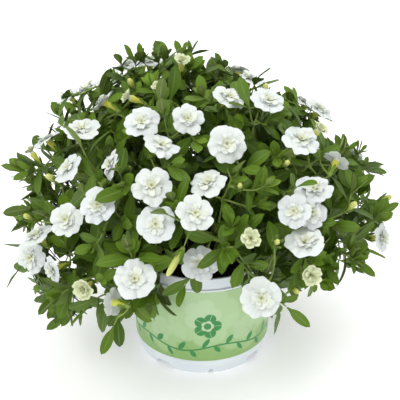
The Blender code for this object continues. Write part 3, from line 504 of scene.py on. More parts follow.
def petals():
    finish = Finish("petal", roughness=0.55, ior=1.38, sheen_weight=0.15)
    round_the_bloom, reach = finish.map("petal")
    back, cream = finish.map("bloom")
    front = 1 - back
    stripes = (round_the_bloom * (2 * math.pi * PETAL_VEINS) + finish.noise(90.0) * 5).sine()
    veins = stripes.step(0.55, 1.0) * reach.step(1.0, 0.45) * reach.step(-0.1, 0.15)
    white = finish.mix(finish.noise(70.0, detail=3.0), PETAL_SHADE, PETAL_WHITE)
    colour = finish.mix(cream, white, PETAL_CREAM)
    colour = finish.mix(reach.step(0.42, 0.10) * front * 0.48, colour, HEART_CREAM)
    colour = finish.mix(reach.step(0.13, 0.02) * front * 0.85, colour, EYE_GREEN)
    colour = finish.mix(veins * (0.12 + 0.30 * cream), colour, VEIN_CREAM)
    colour = finish.mix(reach.step(0.12, -0.05) * back, colour, TUBE_YELLOW)
    colour = finish.mix(reach.step(-0.60, -1.0) * back, colour, TUBE_FOOT)
    finish.set("Base Color", colour)
    finish.bump(stripes * 0.30 + finish.noise(210.0, detail=3.0), 0.35 * MM, strength=0.50)
    finish.let_light_through(0.25, PETAL_GLOW)
    return finish.data


# %% [markdown]
# A closed bud is green at its foot and turns creamy yellow towards its tip, where the petals that it wraps
# begin to show. The second number of its map "petal" runs from foot to tip.


# %% The bud's skin
BUD_GREEN = (0.270, 0.370, 0.050)
BUD_YELLOW = (0.600, 0.630, 0.170)
BUD_CREAM = (0.670, 0.700, 0.320)
BUD_GLOW = (0.60, 0.66, 0.18)


def bud_skin():
    finish = Finish("bud skin", roughness=0.5, ior=1.4)
    _, reach = finish.map("petal")
    colour = finish.mix(reach, BUD_GREEN, BUD_YELLOW)
    colour = finish.mix(finish.noise(150.0) * 0.4, colour, BUD_CREAM)
    finish.set("Base Color", colour)
    finish.bump(finish.noise(260.0), 0.3 * MM, strength=0.4)
    finish.let_light_through(0.18, BUD_GLOW)
    return finish.data


PETAL = petals()
BUD = bud_skin()
print("finishes of the blooms:", PETAL.name, "and", BUD.name)

# %% [markdown]
# Every piece below is gathered as plain arrays first and becomes one mesh at the end, because a stem with
# three hundred leaves made one object at a time would take minutes. `Gathering` holds points, faces, the
# two maps and a finish number for each face.


# %% Gathering shapes into one mesh
class Gathering:
    """Points and faces of one piece, with two maps and a finish for each face."""

    def __init__(self, map_names=("blade", "growth_and_light")):
        self.map_names = map_names
        self.points, self.maps, self.faces, self.finishes = [], ([], []), [], []
        self.count = 0

    def add(self, points, faces, finish, first_map=None, second_map=(0.5, 0.5)):
        """Add a shape. `finish` is one number or one for each face."""
        total = len(points)
        self.points.append(np.asarray(points, float))
        blank = np.full((total, 2), 0.5)
        self.maps[0].append(blank if first_map is None else np.asarray(first_map, float))
        self.maps[1].append(np.tile(np.asarray(second_map, float), (total, 1)))
        self.faces += [[corner + self.count for corner in face] for face in faces]
        self.finishes += [finish] * len(faces) if isinstance(finish, int) else list(finish)
        self.count += total

    def piece(self, name, finishes, crease=55.0):
        """The finished object, shaded smooth except over its sharp edges."""
        mesh = bpy.data.meshes.new(name)
        mesh.from_pydata(np.concatenate(self.points).tolist(), [], self.faces)
        mesh.polygons.foreach_set("material_index", self.finishes)
        corners = np.empty(len(mesh.loops), np.int32)
        mesh.loops.foreach_get("vertex_index", corners)
        for map_name, parts in zip(self.map_names, self.maps):
            layer = mesh.uv_layers.new(name=map_name)
            layer.uv.foreach_set("vector", np.concatenate(parts)[corners].astype(np.float32).ravel())
        for finish in finishes:
            mesh.materials.append(finish)
        mesh.shade_smooth()
        mesh.set_sharp_from_angle(angle=math.radians(crease))
        made = bpy.data.objects.new(name, mesh)
        bpy.context.scene.collection.objects.link(made)
        return made


def stand_for(made, slot, *nodes):
    """A piece rides on the one body and stands for its nodes. Its slot is not used."""
    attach(made, "root")
    for node in nodes:
        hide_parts(node)
    return made


# %% [markdown]
# The pot is turned: one outline spun round its axis, as a lathe or Blender's Spin would. The outline
# follows the solid's radii and heights and adds what the mould leaves: a rolled lip, a fillet under the
# collar, a thin step near the foot. The notches that let air and water under the pot, and the holes in its
# floor, are cut with one Boolean, since they break the turned form.

# %% The pot's outline
POT_SIDES = 160
POT_CREASE = 40
COLLAR_RADIUS = 66.4
LIP_RADIUS = 67.4
RECESS_FOOT_RADIUS = 64.2
RECESS_TOP_RADIUS = 65.7
FOOT_RADIUS = 60.5
FOOT_WIDTH = 3.4
POT_HEIGHT = 107.0
FLOOR_UNDERSIDE = 8.0
NOTCHES = ({"first": 8.0, "width": 5.0, "height": 4.0}, {"first": 53.0, "width": 21.0, "height": 6.0})
DRAIN_HOLES = 6
DRAIN_CIRCLE = 44.0
DRAIN_RADIUS = 4.0


def arc(centre_r, centre_z, radius, start, end, steps=5):
    """Points of a round corner, in degrees from straight out."""
    angles = [math.radians(start + (end - start) * k / steps) for k in range(steps + 1)]
    return [(centre_r + radius * math.cos(a), centre_z + radius * math.sin(a)) for a in angles]


def pot_outline():
    """Half of the pot's cut: under the floor, over the foot, up the outside, over the rim and down inside."""
    foot_inside = FOOT_RADIUS - FOOT_WIDTH
    outline = [(0, FLOOR_UNDERSIDE), (foot_inside, FLOOR_UNDERSIDE), (foot_inside, 0.5)]
    outline += [(foot_inside + 0.5, 0.0)]
    outline += arc(FOOT_RADIUS - 0.8, 0.8, 0.8, -90, -15, 3)
    outline += [(61.55, 7.2), (61.75, 7.7), (62.6, 8.1), (62.8, 8.6), (64.9, BAND_BOTTOM - 0.6)]
    outline += [(64.8, BAND_BOTTOM - 0.35)]
    outline += [(RECESS_FOOT_RADIUS, BAND_BOTTOM - 0.3), (RECESS_TOP_RADIUS, BAND_TOP + 0.3)]
    outline += arc(LIP_RADIUS - 0.9, BAND_TOP + 1.2, 0.9, -90, 0, 4)
    outline += arc(LIP_RADIUS - 0.9, BAND_TOP + 1.9, 0.9, 0, 80, 4)
    outline += [(COLLAR_RADIUS - 0.3, BAND_TOP + 3.0), (COLLAR_RADIUS - 0.35, BAND_TOP + 3.6)]
    outline += arc(COLLAR_RADIUS - 1.0, POT_HEIGHT - 1.0, 1.0, 0, 90, 5)
    outline += arc(COLLAR_RADIUS - 1.4, POT_HEIGHT - 0.6, 0.6, 90, 180, 3)
    outline += [(63.2, BAND_TOP), (61.0, FLOOR_UNDERSIDE + 4.0), (59.4, FLOOR_UNDERSIDE + 2.0)]
    return outline + [(0, FLOOR_UNDERSIDE + 2.0)]


def round_steps(count):
    """Evenly spaced angles round a circle."""
    return FULL_TURN * np.arange(count) / count


def turned(outline, sides):
    """A closed shape turned round Z from (radius, height) points in millimetres, poles first and last."""
    angles = round_steps(sides)
    points, rings = [], []
    for radius, height in outline:
        first = len(points)
        if radius == 0:
            points.append((0, 0, height))
            rings.append(np.full(sides, first))
            continue
        points += [(radius * math.cos(a), radius * math.sin(a), height) for a in angles]
        rings.append(np.arange(first, first + sides))
    faces = []
    for low, high in zip(rings, rings[1:]):
        for k in range(sides):
            n = (k + 1) % sides
            faces.append(tuple(dict.fromkeys(int(v) for v in (low[k], low[n], high[n], high[k]))))
    return np.array(points) * MM, faces


print("points of the pot's outline:", len(pot_outline()))

# %% [markdown]
# A cutter is a helper that is never seen. A notch is cut by a block that narrows upwards and lies across
# the foot, a drain hole by an upright cylinder. One Boolean takes all of them at once, out of a collection.


# %% Cut the pot
def cutter(name, points, faces):
    """A helper object to cut with, from points in millimetres."""
    mesh = bpy.data.meshes.new(name)
    mesh.from_pydata([Vector(p) * MM for p in points], [], faces)
    shape = bmesh.new()
    shape.from_mesh(mesh)
    bmesh.ops.recalc_face_normals(shape, faces=shape.faces)
    shape.to_mesh(mesh)
    shape.free()
    return bpy.data.objects.new(name, mesh)


def notch_cutter(notch, turn):
    """A block across the foot ring, narrower at its top."""
    points = []
    for height, narrow in ((-1.0, 1.0), (notch["height"], 0.62)):
        for radius in (FOOT_RADIUS - 6.4, FOOT_RADIUS + 6.0):
            for way in (-1, 1):
                a = math.radians(turn - 90 + way * notch["width"] / 2 * narrow)
                points.append((radius * math.cos(a), radius * math.sin(a), height))
    faces = [(0, 2, 3, 1), (4, 5, 7, 6), (0, 1, 5, 4), (2, 6, 7, 3), (0, 4, 6, 2), (1, 3, 7, 5)]
    return cutter("notch", points, faces)


def drain_cutter(k):
    """An upright cylinder through the floor."""
    a = FULL_TURN * (k + 0.5) / DRAIN_HOLES
    x, y = DRAIN_CIRCLE * math.cos(a), DRAIN_CIRCLE * math.sin(a)
    sides = 20
    points = []
    for height in (FLOOR_UNDERSIDE - 2, FLOOR_UNDERSIDE + 4):
        for j in range(sides):
            b = FULL_TURN * j / sides
            points.append((x + DRAIN_RADIUS * math.cos(b), y + DRAIN_RADIUS * math.sin(b), height))
    faces = [tuple(range(sides)), tuple(range(2 * sides - 1, sides - 1, -1))]
    faces += [(j, (j + 1) % sides, (j + 1) % sides + sides, j + sides) for j in range(sides)]
    return cutter("drain", points, faces)


def apply_modifiers(made):
    """Make an object's modifiers part of its mesh."""
    graph = bpy.context.evaluated_depsgraph_get()
    mesh = bpy.data.meshes.new_from_object(made.evaluated_get(graph))
    made.modifiers.clear()
    made.data = mesh


def make_pot():
    gathered = Gathering()
    gathered.add(*turned(pot_outline(), POT_SIDES), 0)
    made = gathered.piece("pot_shell", [pot_plastic()], POT_CREASE)
    helpers = bpy.data.collections.new("pot_cutters")
    bpy.context.scene.collection.children.link(helpers)
    for quarter in range(4):
        for notch in NOTCHES:
            helpers.objects.link(notch_cutter(notch, notch["first"] + quarter * 90))
    for k in range(DRAIN_HOLES):
        helpers.objects.link(drain_cutter(k))
    cut = made.modifiers.new("cut", "BOOLEAN")
    cut.operation, cut.operand_type, cut.collection = "DIFFERENCE", "COLLECTION", helpers
    apply_modifiers(made)
    made.data.set_sharp_from_angle(angle=math.radians(POT_CREASE))
    for helper in list(helpers.objects):
        bpy.data.objects.remove(helper)
    bpy.data.collections.remove(helpers)
    return stand_for(made, "pot_plastic", "pot")


pot = make_pot()
print("pot faces:", len(pot.data.polygons))

# %% [markdown]
# The sleeve is a thin cone that fits the recess of the pot's wall. It is turned too, with its edges rounded
# over and a map in millimetres round and up it, which the print is drawn in.

# %% The sleeve
BAND_SIDES = 144
BAND_FOOT_RADIUS = 65.2
BAND_TOP_RADIUS = 66.7
BAND_THICKNESS = 0.6
BAND_EDGE = 0.15
BAND_STEPS = 8


def sleeve_profile():
    """The sleeve's cut, from its lower inner edge up the outside to its upper inner edge."""
    low, high = BAND_FOOT_RADIUS, BAND_TOP_RADIUS
    profile = [(low - BAND_THICKNESS, BAND_BOTTOM), (low - BAND_EDGE, BAND_BOTTOM)]
    profile += [(low, BAND_BOTTOM + BAND_EDGE)]
    for k in range(1, BAND_STEPS):
        radius = low + (high - low) * k / BAND_STEPS
        profile.append((radius, BAND_BOTTOM + (BAND_TOP - BAND_BOTTOM) * k / BAND_STEPS))
    profile += [(high, BAND_TOP - BAND_EDGE), (high - BAND_EDGE, BAND_TOP)]
    return profile + [(high - BAND_THICKNESS, BAND_TOP)]


def make_band():
    gathered = Gathering(("sleeve", "growth_and_light"))
    profile = sleeve_profile()
    points, places, faces = [], [], []
    for k in range(BAND_SIDES + 1):
        angle = FULL_TURN * k / BAND_SIDES + math.pi / 2
        for radius, height in profile:
            points.append(Vector((radius * math.cos(angle), radius * math.sin(angle), height)) * MM)
            places.append(((k / BAND_SIDES - 0.5) * BAND_LENGTH, height))
    around = len(profile)
    for k in range(BAND_SIDES):
        for j in range(around):
            a, b = k * around + j, k * around + (j + 1) % around
            faces.append((a, a + around, b + around, b))
    gathered.add(points, faces, 0, places)
    made = gathered.piece("print_band", [printed_band()], POT_CREASE)
    return stand_for(made, "printed_band", "band")


band = make_band()
print("band faces:", len(band.data.polygons))

# %% [markdown]
# The soil is a turned bed whose top is pushed about by noise at two scales, with loose crumbs strewn on it.
# It fits the solid's outline: the pot's inside, less a touch of clearance.

# %% The soil
SOIL_TOP = 97.0
SOIL_EDGE = 62.9
SOIL_FOOT = 59.0
SOIL_SIDES = 96
SOIL_RINGS = 26
CRUMBS = 420
CRUMB_SIZES = (0.5, 1.9)
CRUMB_OUTLINE = ((0, -0.8), (0.75, -0.5), (0.95, 0.2), (0.55, 0.75), (0, 0.9))
CRUMB_SPREAD = 3


def crumb(draw, size):
    """A knobbly lump of seventeen points."""
    points, faces = turned(CRUMB_OUTLINE, 5)
    points = points / MM
    stretch = [draw.uniform(0.55, 1.3) for _ in range(3)]
    points = np.array([p * draw.uniform(0.75, 1.2) * CRUMB_SPREAD for p in points]) * stretch
    turn = Matrix.Rotation(draw.uniform(0, FULL_TURN), 3, "Z")
    turn = turn @ Matrix.Rotation(draw.uniform(0, 3), 3, "X")
    return points @ np.array(turn).T * size, faces


def soil_height(x, y):
    """The bed's height in millimetres: slow lumps and fine grains."""
    lump = noise.noise(Vector((x * 0.09, y * 0.09, 3.0))) * 1.6
    fine = noise.noise(Vector((x * 0.45, y * 0.45, 9.0))) * 0.9
    return SOIL_TOP + lump + fine


def make_soil():
    draw = random.Random("peat bed")
    gathered = Gathering()
    outline = [(0, FLOOR_UNDERSIDE + 2.3), (SOIL_FOOT, FLOOR_UNDERSIDE + 2.3), (SOIL_EDGE, SOIL_TOP - 1)]
    outline += [(SOIL_EDGE * k / SOIL_RINGS, SOIL_TOP) for k in range(SOIL_RINGS - 1, -1, -1)]
    points, faces = turned(outline, SOIL_SIDES)
    for point in points[1 + 2 * SOIL_SIDES :]:
        point[2] = soil_height(point[0] / MM, point[1] / MM) * MM
    gathered.add(points, faces, 0)
    for _ in range(CRUMBS):
        reach, turn = SOIL_EDGE * 0.97 * math.sqrt(draw.random()), draw.uniform(0, FULL_TURN)
        x, y = reach * math.cos(turn), reach * math.sin(turn)
        size = draw.uniform(*CRUMB_SIZES)
        points, faces = crumb(draw, size)
        gathered.add((points + [x, y, soil_height(x, y) + size * 0.25]) * MM, faces, 0)
    return stand_for(gathered.piece("peat_bed", [peat()]), "peat", "soil")


soil = make_soil()
print("soil faces:", len(soil.data.polygons))

# %% [markdown]
# Leaves, sepals and the small petals in a bloom's heart are all thin sheets that end in a point. Each is a
# lens of a solid: a grid of points for its upper side, a second grid just below for its underside, and one
# rim that both share. The pattern of faces is the same for every grid of one size, so it is worked out once
# and kept.


# %% Thin sheets
@functools.cache
def lens_pattern(rows, columns):
    """The points of two grids that a thin sheet uses, its faces, and whether each is upper, lower or root."""
    top = np.arange(rows * columns).reshape(rows, columns)
    low = top + rows * columns
    top[-1] = top[-1, 0]
    low[:, 0], low[:, -1], low[-1] = top[:, 0], top[:, -1], top[-1]
    faces, sides = [], []
    for k in range(rows - 1):
        for j in range(columns - 1):
            for side, grid in enumerate((top, low)):
                corners = [grid[k, j], grid[k, j + 1], grid[k + 1, j + 1], grid[k + 1, j]]
                faces.append(corners if side else corners[::-1])
                sides.append(side)
    faces.append(list(low[0, -2:0:-1]) + list(top[0]))
    sides.append(2)
    faces = [tuple(dict.fromkeys(int(corner) for corner in face)) for face in faces]
    used = sorted({corner for face in faces for corner in face})
    place = {corner: number for number, corner in enumerate(used)}
    return used, [tuple(place[corner] for corner in face) for face in faces], sides


def lens(points, up, depth):
    """A thin sheet's points, faces and sides, and which points of its grids it uses."""
    used, faces, sides = lens_pattern(*points.shape[:2])
    both = np.concatenate([points.reshape(-1, 3), (points - up * depth[..., None]).reshape(-1, 3)])
    return both[used], faces, sides, used


def unit_rows(rows):
    """Each row at a length of 1."""
    return rows / np.maximum(np.linalg.norm(rows, axis=-1, keepdims=True), 1e-12)


print("faces of a leaf:", len(lens_pattern(9, 5)[1]))

# %% [markdown]
# Now the plant. The imported solids are split at every edge, so each is welded first. A bloom's solid holds
# two landmarks that nothing else has: the small regular pentagon at the foot of its tube, and the point of
# ten edges at its heart. Both lie on its axis. From them come the bloom's place, the way it faces, its
# lobes' directions and, since the heart stands 14 mm plus a known share of the radius above the tube's
# foot, its radius.

# %% Reading the blooms out of the solids
TUBE_LENGTH = 14.0 * MM
TUBE_FOOT_RADIUS = 1.5 * MM
HEART_SHARE = 0.12
SKYWARD = (0.0, 0.38)
ASKEW = 0.14
WELD = 1e-6
SAME_LENGTH = 0.02 * MM
ON_AXIS = 0.05 * MM


def welded(node):
    """A node's solid with its split edges joined again."""
    shape = bmesh.new()
    shape.from_mesh(frame["nodes"][node].data)
    bmesh.ops.remove_doubles(shape, verts=shape.verts, dist=WELD)
    return shape


def pentagons(shape, side):
    """Closed runs of five points, each `side` from the next."""
    found, seen = [], set()
    for vert in shape.verts:
        if vert in seen:
            continue
        run = [vert]
        while len(run) < LOBES:
            edges = [edge for edge in run[-1].link_edges if abs(edge.calc_length() - side) < SAME_LENGTH]
            steps = [edge.other_vert(run[-1]) for edge in edges]
            steps = [vert for vert in steps if vert not in run]
            if not steps:
                break
            run.append(steps[0])
        if len(run) == LOBES and abs((run[0].co - run[-1].co).length - side) < SAME_LENGTH:
            found.append([v.co.copy() for v in run])
            seen |= set(run)
    return found


bloom_nodes = sorted(name for name in frame["nodes"] if name.startswith("bloom_"))
stem_nodes = sorted(name for name in frame["nodes"] if name.startswith("stem_"))
print("nodes with blooms:", len(bloom_nodes), "and with stems:", len(stem_nodes))

# %% [markdown]
# A `Flower` keeps what was read, and turns points of a bloom's own axes into the world's. The limb of a
# real bloom seldom stands square on its tube: its weight and the light turn it, so each gets a slope of its
# own.


# %% The blooms' places
class Flower:
    """A bloom's place, the way it faces, one of its lobes' directions and its radius."""

    def __init__(self, centre, facing, lobe, radius, number, cup=0.0):
        self.centre, self.facing, self.radius, self.number, self.cup = centre, facing, radius, number, cup
        self.lobe = (lobe - facing * lobe.dot(facing)).normalized()
        self.other = facing.cross(self.lobe)
        self.slope = (0.0, 0.0)

    def lean(self, draw):
        """Tilt the limb on its tube, mostly towards the sky, as a bloom's weight and the light turn it."""
        skyward = draw.uniform(*SKYWARD)
        self.slope = tuple(-skyward * way.z + draw.uniform(-ASKEW, ASKEW) for way in (self.lobe, self.other))

    def place(self, points):
        """Points from the bloom's own axes to the world's, with those of the limb on its slope."""
        points = np.array(points, float)
        on_limb = np.clip(points[:, 2] / TUBE_LENGTH * 3 + 1, 0, 1)
        points[:, 2] += (points[:, 0] * self.slope[0] + points[:, 1] * self.slope[1]) * on_limb
        axes = np.array([self.lobe, self.other, self.facing])
        return points @ axes + np.array(self.centre)


def flowers_of(node, number):
    """The blooms in a node's solid."""
    shape = welded(node)
    found = []
    for ring in pentagons(shape, 2 * TUBE_FOOT_RADIUS * math.sin(math.pi / LOBES)):
        foot = sum(ring, Vector()) / LOBES
        axis = (ring[1] - foot).cross(ring[2] - foot).normalized()
        heart = None
        for vert in shape.verts:
            rise = abs((vert.co - foot).dot(axis))
            off = (vert.co - foot).cross(axis).length
            if off < ON_AXIS and TUBE_LENGTH < rise < TUBE_LENGTH * 1.3:
                heart = vert.co
        if heart is None:
            continue
        facing = (heart - foot).normalized()
        radius = ((heart - foot).length - TUBE_LENGTH) / HEART_SHARE
        found.append(Flower(foot + facing * TUBE_LENGTH, facing, ring[0] - foot, radius, number))
    shape.free()
    return found


flowers = {node: flowers_of(node, number) for number, node in enumerate(bloom_nodes)}
print("blooms found:", sum(len(found) for found in flowers.values()), "in", len(bloom_nodes), "nodes")
print("without one:", [node for node, found in flowers.items() if not found])

# %% [markdown]
# A double bloom is a broad limb of five shallow lobes on a tube, a smaller ruffled sheet on it, a little
# cup round the eye, and between those a crumple of small petals that were meant to be stamens. The sheets
# are closed skins made of rings round the bloom's axis: from the middle out over the face, round the rim,
# and back along the underside. Waves that grow towards the rim frill them. A modifier could do this to a
# disc, but the formula keeps every frill where the petals' form wants it.

# %% Rings and frills
SHEET = 0.45 * MM
TUBE_RINGS = ((3.1, -2.6), (2.6, -5.5), (2.2, -9.5), (1.55, -13.9))


def skin_of_rings(rings, sides):
    """A closed skin from rings of points, with a pole at each end. A ring of one point is a pole."""
    points, starts = [], []
    for ring in rings:
        starts.append((len(points), len(ring)))
        points += list(ring)
    faces = []
    for (low, low_count), (high, high_count) in zip(starts, starts[1:]):
        for k in range(sides):
            n = (k + 1) % sides
            upper = [high + k % high_count, high + n % high_count]
            corners = [low + k % low_count, *upper, low + n % low_count]
            faces.append(tuple(dict.fromkeys(corners)))
    return np.array(points), faces


def frill(draw, angles, strength, waves):
    """Waves round the rim, as a height for each angle."""
    height = np.zeros(len(angles))
    for count in waves:
        height += np.sin(count * angles + draw.uniform(0, FULL_TURN)) * draw.uniform(0.5, 1.0)
    return height * strength


def lobed(angles, turn, notch, blunt):
    """The outline of five lobes, 1 at a lobe's middle."""
    phase = (angles - turn) * LOBES / 2
    outline = 1 - notch + notch * np.abs(np.cos(phase)) ** blunt
    return outline - 0.03 * np.exp(-((np.sin(phase) / 0.22) ** 2))


print("rings of a tube:", len(TUBE_RINGS))

# %% [markdown]
# Three sheets make up a bloom. Each is described in shares of the bloom's radius: how far it reaches, the
# depth of the notches between its lobes, the strength and number of its frills, how unevenly it leans and
# how ragged its outline is. "seat" is where it starts above the limb, "rise" and "bend" how it opens,
# "curl" how far its rim rolls back and "pit" how deep its middle sinks. What differs from bloom to bloom is
# drawn by chance.

# %% The sheets of a bloom
LIMB = {"reach": 0.93, "frill": 0.034, "waves": (5, 8, 12), "lean": 0.050, "ragged": 0.026, "turn": 0.0}
LIMB |= {"seat": 0.0, "rise": 0.05, "bend": 0.8, "curl": 0.08, "pit": 0.12, "tube": True, "back_from": 0.2}
LIMB |= {"sides": 60, "rings": (0.12, 0.24, 0.38, 0.52, 0.66, 0.80, 0.92, 1.0)}
RUFFLE = {"notch": 0.34, "frill": 0.060, "waves": (5, 7, 8), "lean": 0.060, "ragged": 0.035}
RUFFLE |= {"seat": 0.02, "bend": 1.2, "curl": 0.09, "pit": 0.05, "tube": False, "back_from": 0.2}
RUFFLE |= {"sides": 50, "rings": (0.16, 0.34, 0.52, 0.70, 0.86, 1.0)}
EYE_CUP = {"notch": 0.30, "frill": 0.030, "waves": (3, 4, 5), "lean": 0.03, "ragged": 0.030}
EYE_CUP |= {"seat": 0.05, "bend": 0.7, "curl": 0.02, "pit": 0.05, "tube": False, "back_from": 0.3}
EYE_CUP |= {"sides": 24, "rings": (0.3, 0.6, 0.85, 1.0)}
RAGGED_WAVES = (2, 3, 4, 7, 11)
LEANING_WAVES = (1, 2, 3)


def bloom_parts(draw):
    """The limb, the ruffled sheet on it and the cup round the eye."""
    limb = LIMB | {"notch": draw.uniform(0.10, 0.24)}
    ruffle = RUFFLE | {"reach": draw.uniform(0.46, 0.58), "rise": draw.uniform(0.14, 0.22)}
    ruffle["turn"] = math.pi / LOBES + draw.uniform(-0.3, 0.3)
    eye_cup = EYE_CUP | {"reach": draw.uniform(0.17, 0.23), "rise": draw.uniform(0.13, 0.20)}
    eye_cup["turn"] = draw.uniform(-0.3, 0.3)
    return limb, ruffle, eye_cup


def petal_sheet(gathering, flower, draw, part, cream):
    """One frilled sheet of a bloom, or the limb with its tube."""
    radius, cup = flower.radius, flower.cup
    angles = round_steps(part["sides"])
    shrink = 1 - 0.35 * cup
    rim = part["reach"] * radius * shrink * lobed(angles, part["turn"], part["notch"], 0.55)
    rim = rim * (1 + frill(draw, angles, part["ragged"], RAGGED_WAVES))
    fold = frill(draw, angles, part["frill"] * radius, part["waves"])
    lean = frill(draw, angles, part["lean"] * radius, LEANING_WAVES)
    crease = np.exp(-((np.cos((angles - part["turn"]) * LOBES / 2) / 0.16) ** 2))

    def ring(share, drop):
        """A ring of the sheet at a share of its reach, let down by a drop."""
        height = part["seat"] * radius + part["rise"] * radius * share ** part["bend"]
        height = height + cup * radius * share**1.25 + fold * share**2.2 + lean * share**2
        height = height - part["curl"] * radius * share**5 - crease * 0.055 * radius * share - drop
        reach = rim * share
        return np.stack([reach * np.cos(angles), reach * np.sin(angles), height], 1)

    rings, reaches, backs = [], [], []

    def keep(points, reach, back):
        rings.append(points)
        reaches.extend([reach] * len(points))
        backs.extend([back] * len(points))

    keep(ring(0.0, part["pit"] * radius)[:1], 0.0, 0.0)
    for share in part["rings"]:
        keep(ring(share, part["pit"] * radius * max(0.0, 1 - share / 0.3) ** 2), share * part["reach"], 0.0)
    for share in reversed(part["rings"][:-1]):
        if share > part["back_from"]:
            keep(ring(share, SHEET), share * part["reach"], 1.0)
    if part["tube"]:
        for reach, height in TUBE_RINGS:
            heights = np.full(len(angles), height)
            round_ring = np.stack([np.cos(angles) * reach, np.sin(angles) * reach, heights], 1)
            keep(round_ring * MM, 0.1 + height / 14, 1.0)
        keep(np.array([[0, 0, -TUBE_LENGTH]]), -0.9, 1.0)
    else:
        keep(ring(0.0, SHEET * 2 + part["pit"] * radius)[:1], 0.0, 1.0)
    points, faces = skin_of_rings(rings, part["sides"])
    faces = [face[::-1] for face in faces]
    turns = np.concatenate([angles[: len(r)] if len(r) > 1 else np.zeros(1) for r in rings]) / FULL_TURN
    first_map = np.stack([turns, reaches], 1)
    gathering.add(flower.place(points), faces, 0, first_map, (0.0, cream))
    gathering.maps[1][-1][:, 0] = backs


print("sheets of a bloom:", len(bloom_parts(random.Random(0))))

# %% [markdown]
# The crumple at the heart is seven to eleven small petals in a ring round the eye. Each stands up, rolls
# outwards and is folded along its middle, by draws of its own.

# %% The heart's small petals
HEART_PETALS = (7, 11)
HEART_PETAL_WIDTHS = np.array([0.45, 0.75, 0.98, 1.0, 0.70, 0.0])
HEART_PETAL_SHARES = np.array([0.0, 0.25, 0.50, 0.75, 0.93, 1.0])
HEART_PETAL_COLUMNS = np.array([-1.0, -0.5, 0.0, 0.5, 1.0])


def heart_petal(gathering, flower, draw, turn, cream):
    """A small petal that stands up beside the eye and rolls outwards, folded along its middle."""
    length = flower.radius * draw.uniform(0.28, 0.50)
    half = length * draw.uniform(0.30, 0.46) * HEART_PETAL_WIDTHS
    rise, roll = draw.uniform(0.75, 1.35), draw.uniform(0.7, 1.7)
    pitch = rise - roll * HEART_PETAL_SHARES
    steps = np.diff(HEART_PETAL_SHARES, prepend=0.0) * length
    start = draw.uniform(0.08, 0.17) * flower.radius
    out = start + np.cumsum(np.cos(pitch) * steps)
    lift = (0.06 + 0.5 * flower.cup) * flower.radius + np.cumsum(np.sin(pitch) * steps)
    fold, twist = draw.uniform(-0.2, 0.7), draw.uniform(-0.5, 0.5)
    ruffle = draw.uniform(0.10, 0.24) * np.sin(3.0 * HEART_PETAL_COLUMNS + draw.uniform(0, 6))
    points, ups = [], []
    for k, share in enumerate(HEART_PETAL_SHARES):
        side = np.array([math.sin(twist * share) * 0.5, math.cos(twist * share), 0.0])
        up = np.array([-math.sin(pitch[k]), 0.0, math.cos(pitch[k])])
        raised = half[k] * (fold * HEART_PETAL_COLUMNS**2 + ruffle * share)
        row = np.array([out[k], 0.0, lift[k]]) + np.outer(HEART_PETAL_COLUMNS * half[k], -side)
        points.append(row + np.outer(raised, up))
        ups.append(np.tile(up, (len(HEART_PETAL_COLUMNS), 1)))
    around = np.array(Matrix.Rotation(turn, 3, "Z")).T
    depth = np.outer(np.ones(len(points)), SHEET * (1 - HEART_PETAL_COLUMNS**2))
    points, faces, _, used = lens(np.array(points) @ around, np.array(ups) @ around, depth)
    reach = np.tile(np.repeat(0.10 + 0.30 * HEART_PETAL_SHARES, len(HEART_PETAL_COLUMNS)), 2)[used]
    petal_map = np.stack([np.full(len(reach), turn / FULL_TURN), reach], 1)
    gathering.add(flower.place(points), faces, 0, petal_map, (0.0, cream))


def make_flower(gathering, flower, cream=0.0):
    """All of one bloom."""
    draw = random.Random(f"petals {flower.number} {round(flower.centre.x, 4)}")
    if not flower.cup:
        flower.lean(draw)
    for part in bloom_parts(draw):
        petal_sheet(gathering, flower, draw, part, cream)
    count = draw.randint(*HEART_PETALS)
    for k in range(count):
        heart_petal(gathering, flower, draw, FULL_TURN * (k + draw.uniform(-0.35, 0.35)) / count, cream)


print("points of a small petal:", len(lens_pattern(len(HEART_PETAL_SHARES), len(HEART_PETAL_COLUMNS))[0]))

# %% [markdown]
# Every bloom's node becomes one piece, and blooms that grow pressed together share theirs, as in the
# solids.

# %% The blooms
BLOOM_CREASE = 70
CREAM = (0.0, 0.10)

for node, found in flowers.items():
    gathered = Gathering(("petal", "bloom"))
    for flower in found:
        make_flower(gathered, flower, cream=random.Random(node).uniform(*CREAM))
    stand_for(gathered.piece(node.replace("bloom", "flower"), [PETAL], BLOOM_CREASE), "petals", node)

# %% [markdown]
# The stems' solids hold leaves, stalks, calyces, buds and half-open blooms, all grown together. Each has
# its own landmark. A leaf's tip is a point of three edges with two equal shoulders. A bud's tip is a point
# of five equal edges. A half-open bloom has the same ten-edged heart as an open one. `StemReader` finds
# them, keeps where they are, takes them out of the solid, and what is left is the bare stem.

# %% Reading the stems
SHOULDER_SHARE = 0.80
WAIST_SHARE = 0.92
WIDTH_SHARES = (0.32, 0.45)
TIP_SHARE = 0.24
BUD_SHARE = 0.38
BUD_SLIMNESS = 0.14
BUD_BASE = 0.8
BUD_WIDEST = 2.6
OPENING_CUP = 0.45
OPENING_RADII = (6 * MM, 13 * MM)
OPENING_NUMBER = 100
CALYX_SEAT = 2.7 * MM
SEPAL_REACH = 5.4 * MM
SEPAL_RISE = 3.8 * MM
NEAR = 0.03 * MM


class Leaf:
    """A leaf's centre line from root to tip, the way to its right, its upper side and its width."""

    def __init__(self, line, right, width, at_tip=False):
        self.line, self.right, self.width, self.at_tip = line, right, width, at_tip


def by_distance(verts, middle):
    return sorted(verts, key=lambda vert: (vert.co - middle).length)


def neighbours(vert):
    return [edge.other_vert(vert) for edge in vert.link_edges]


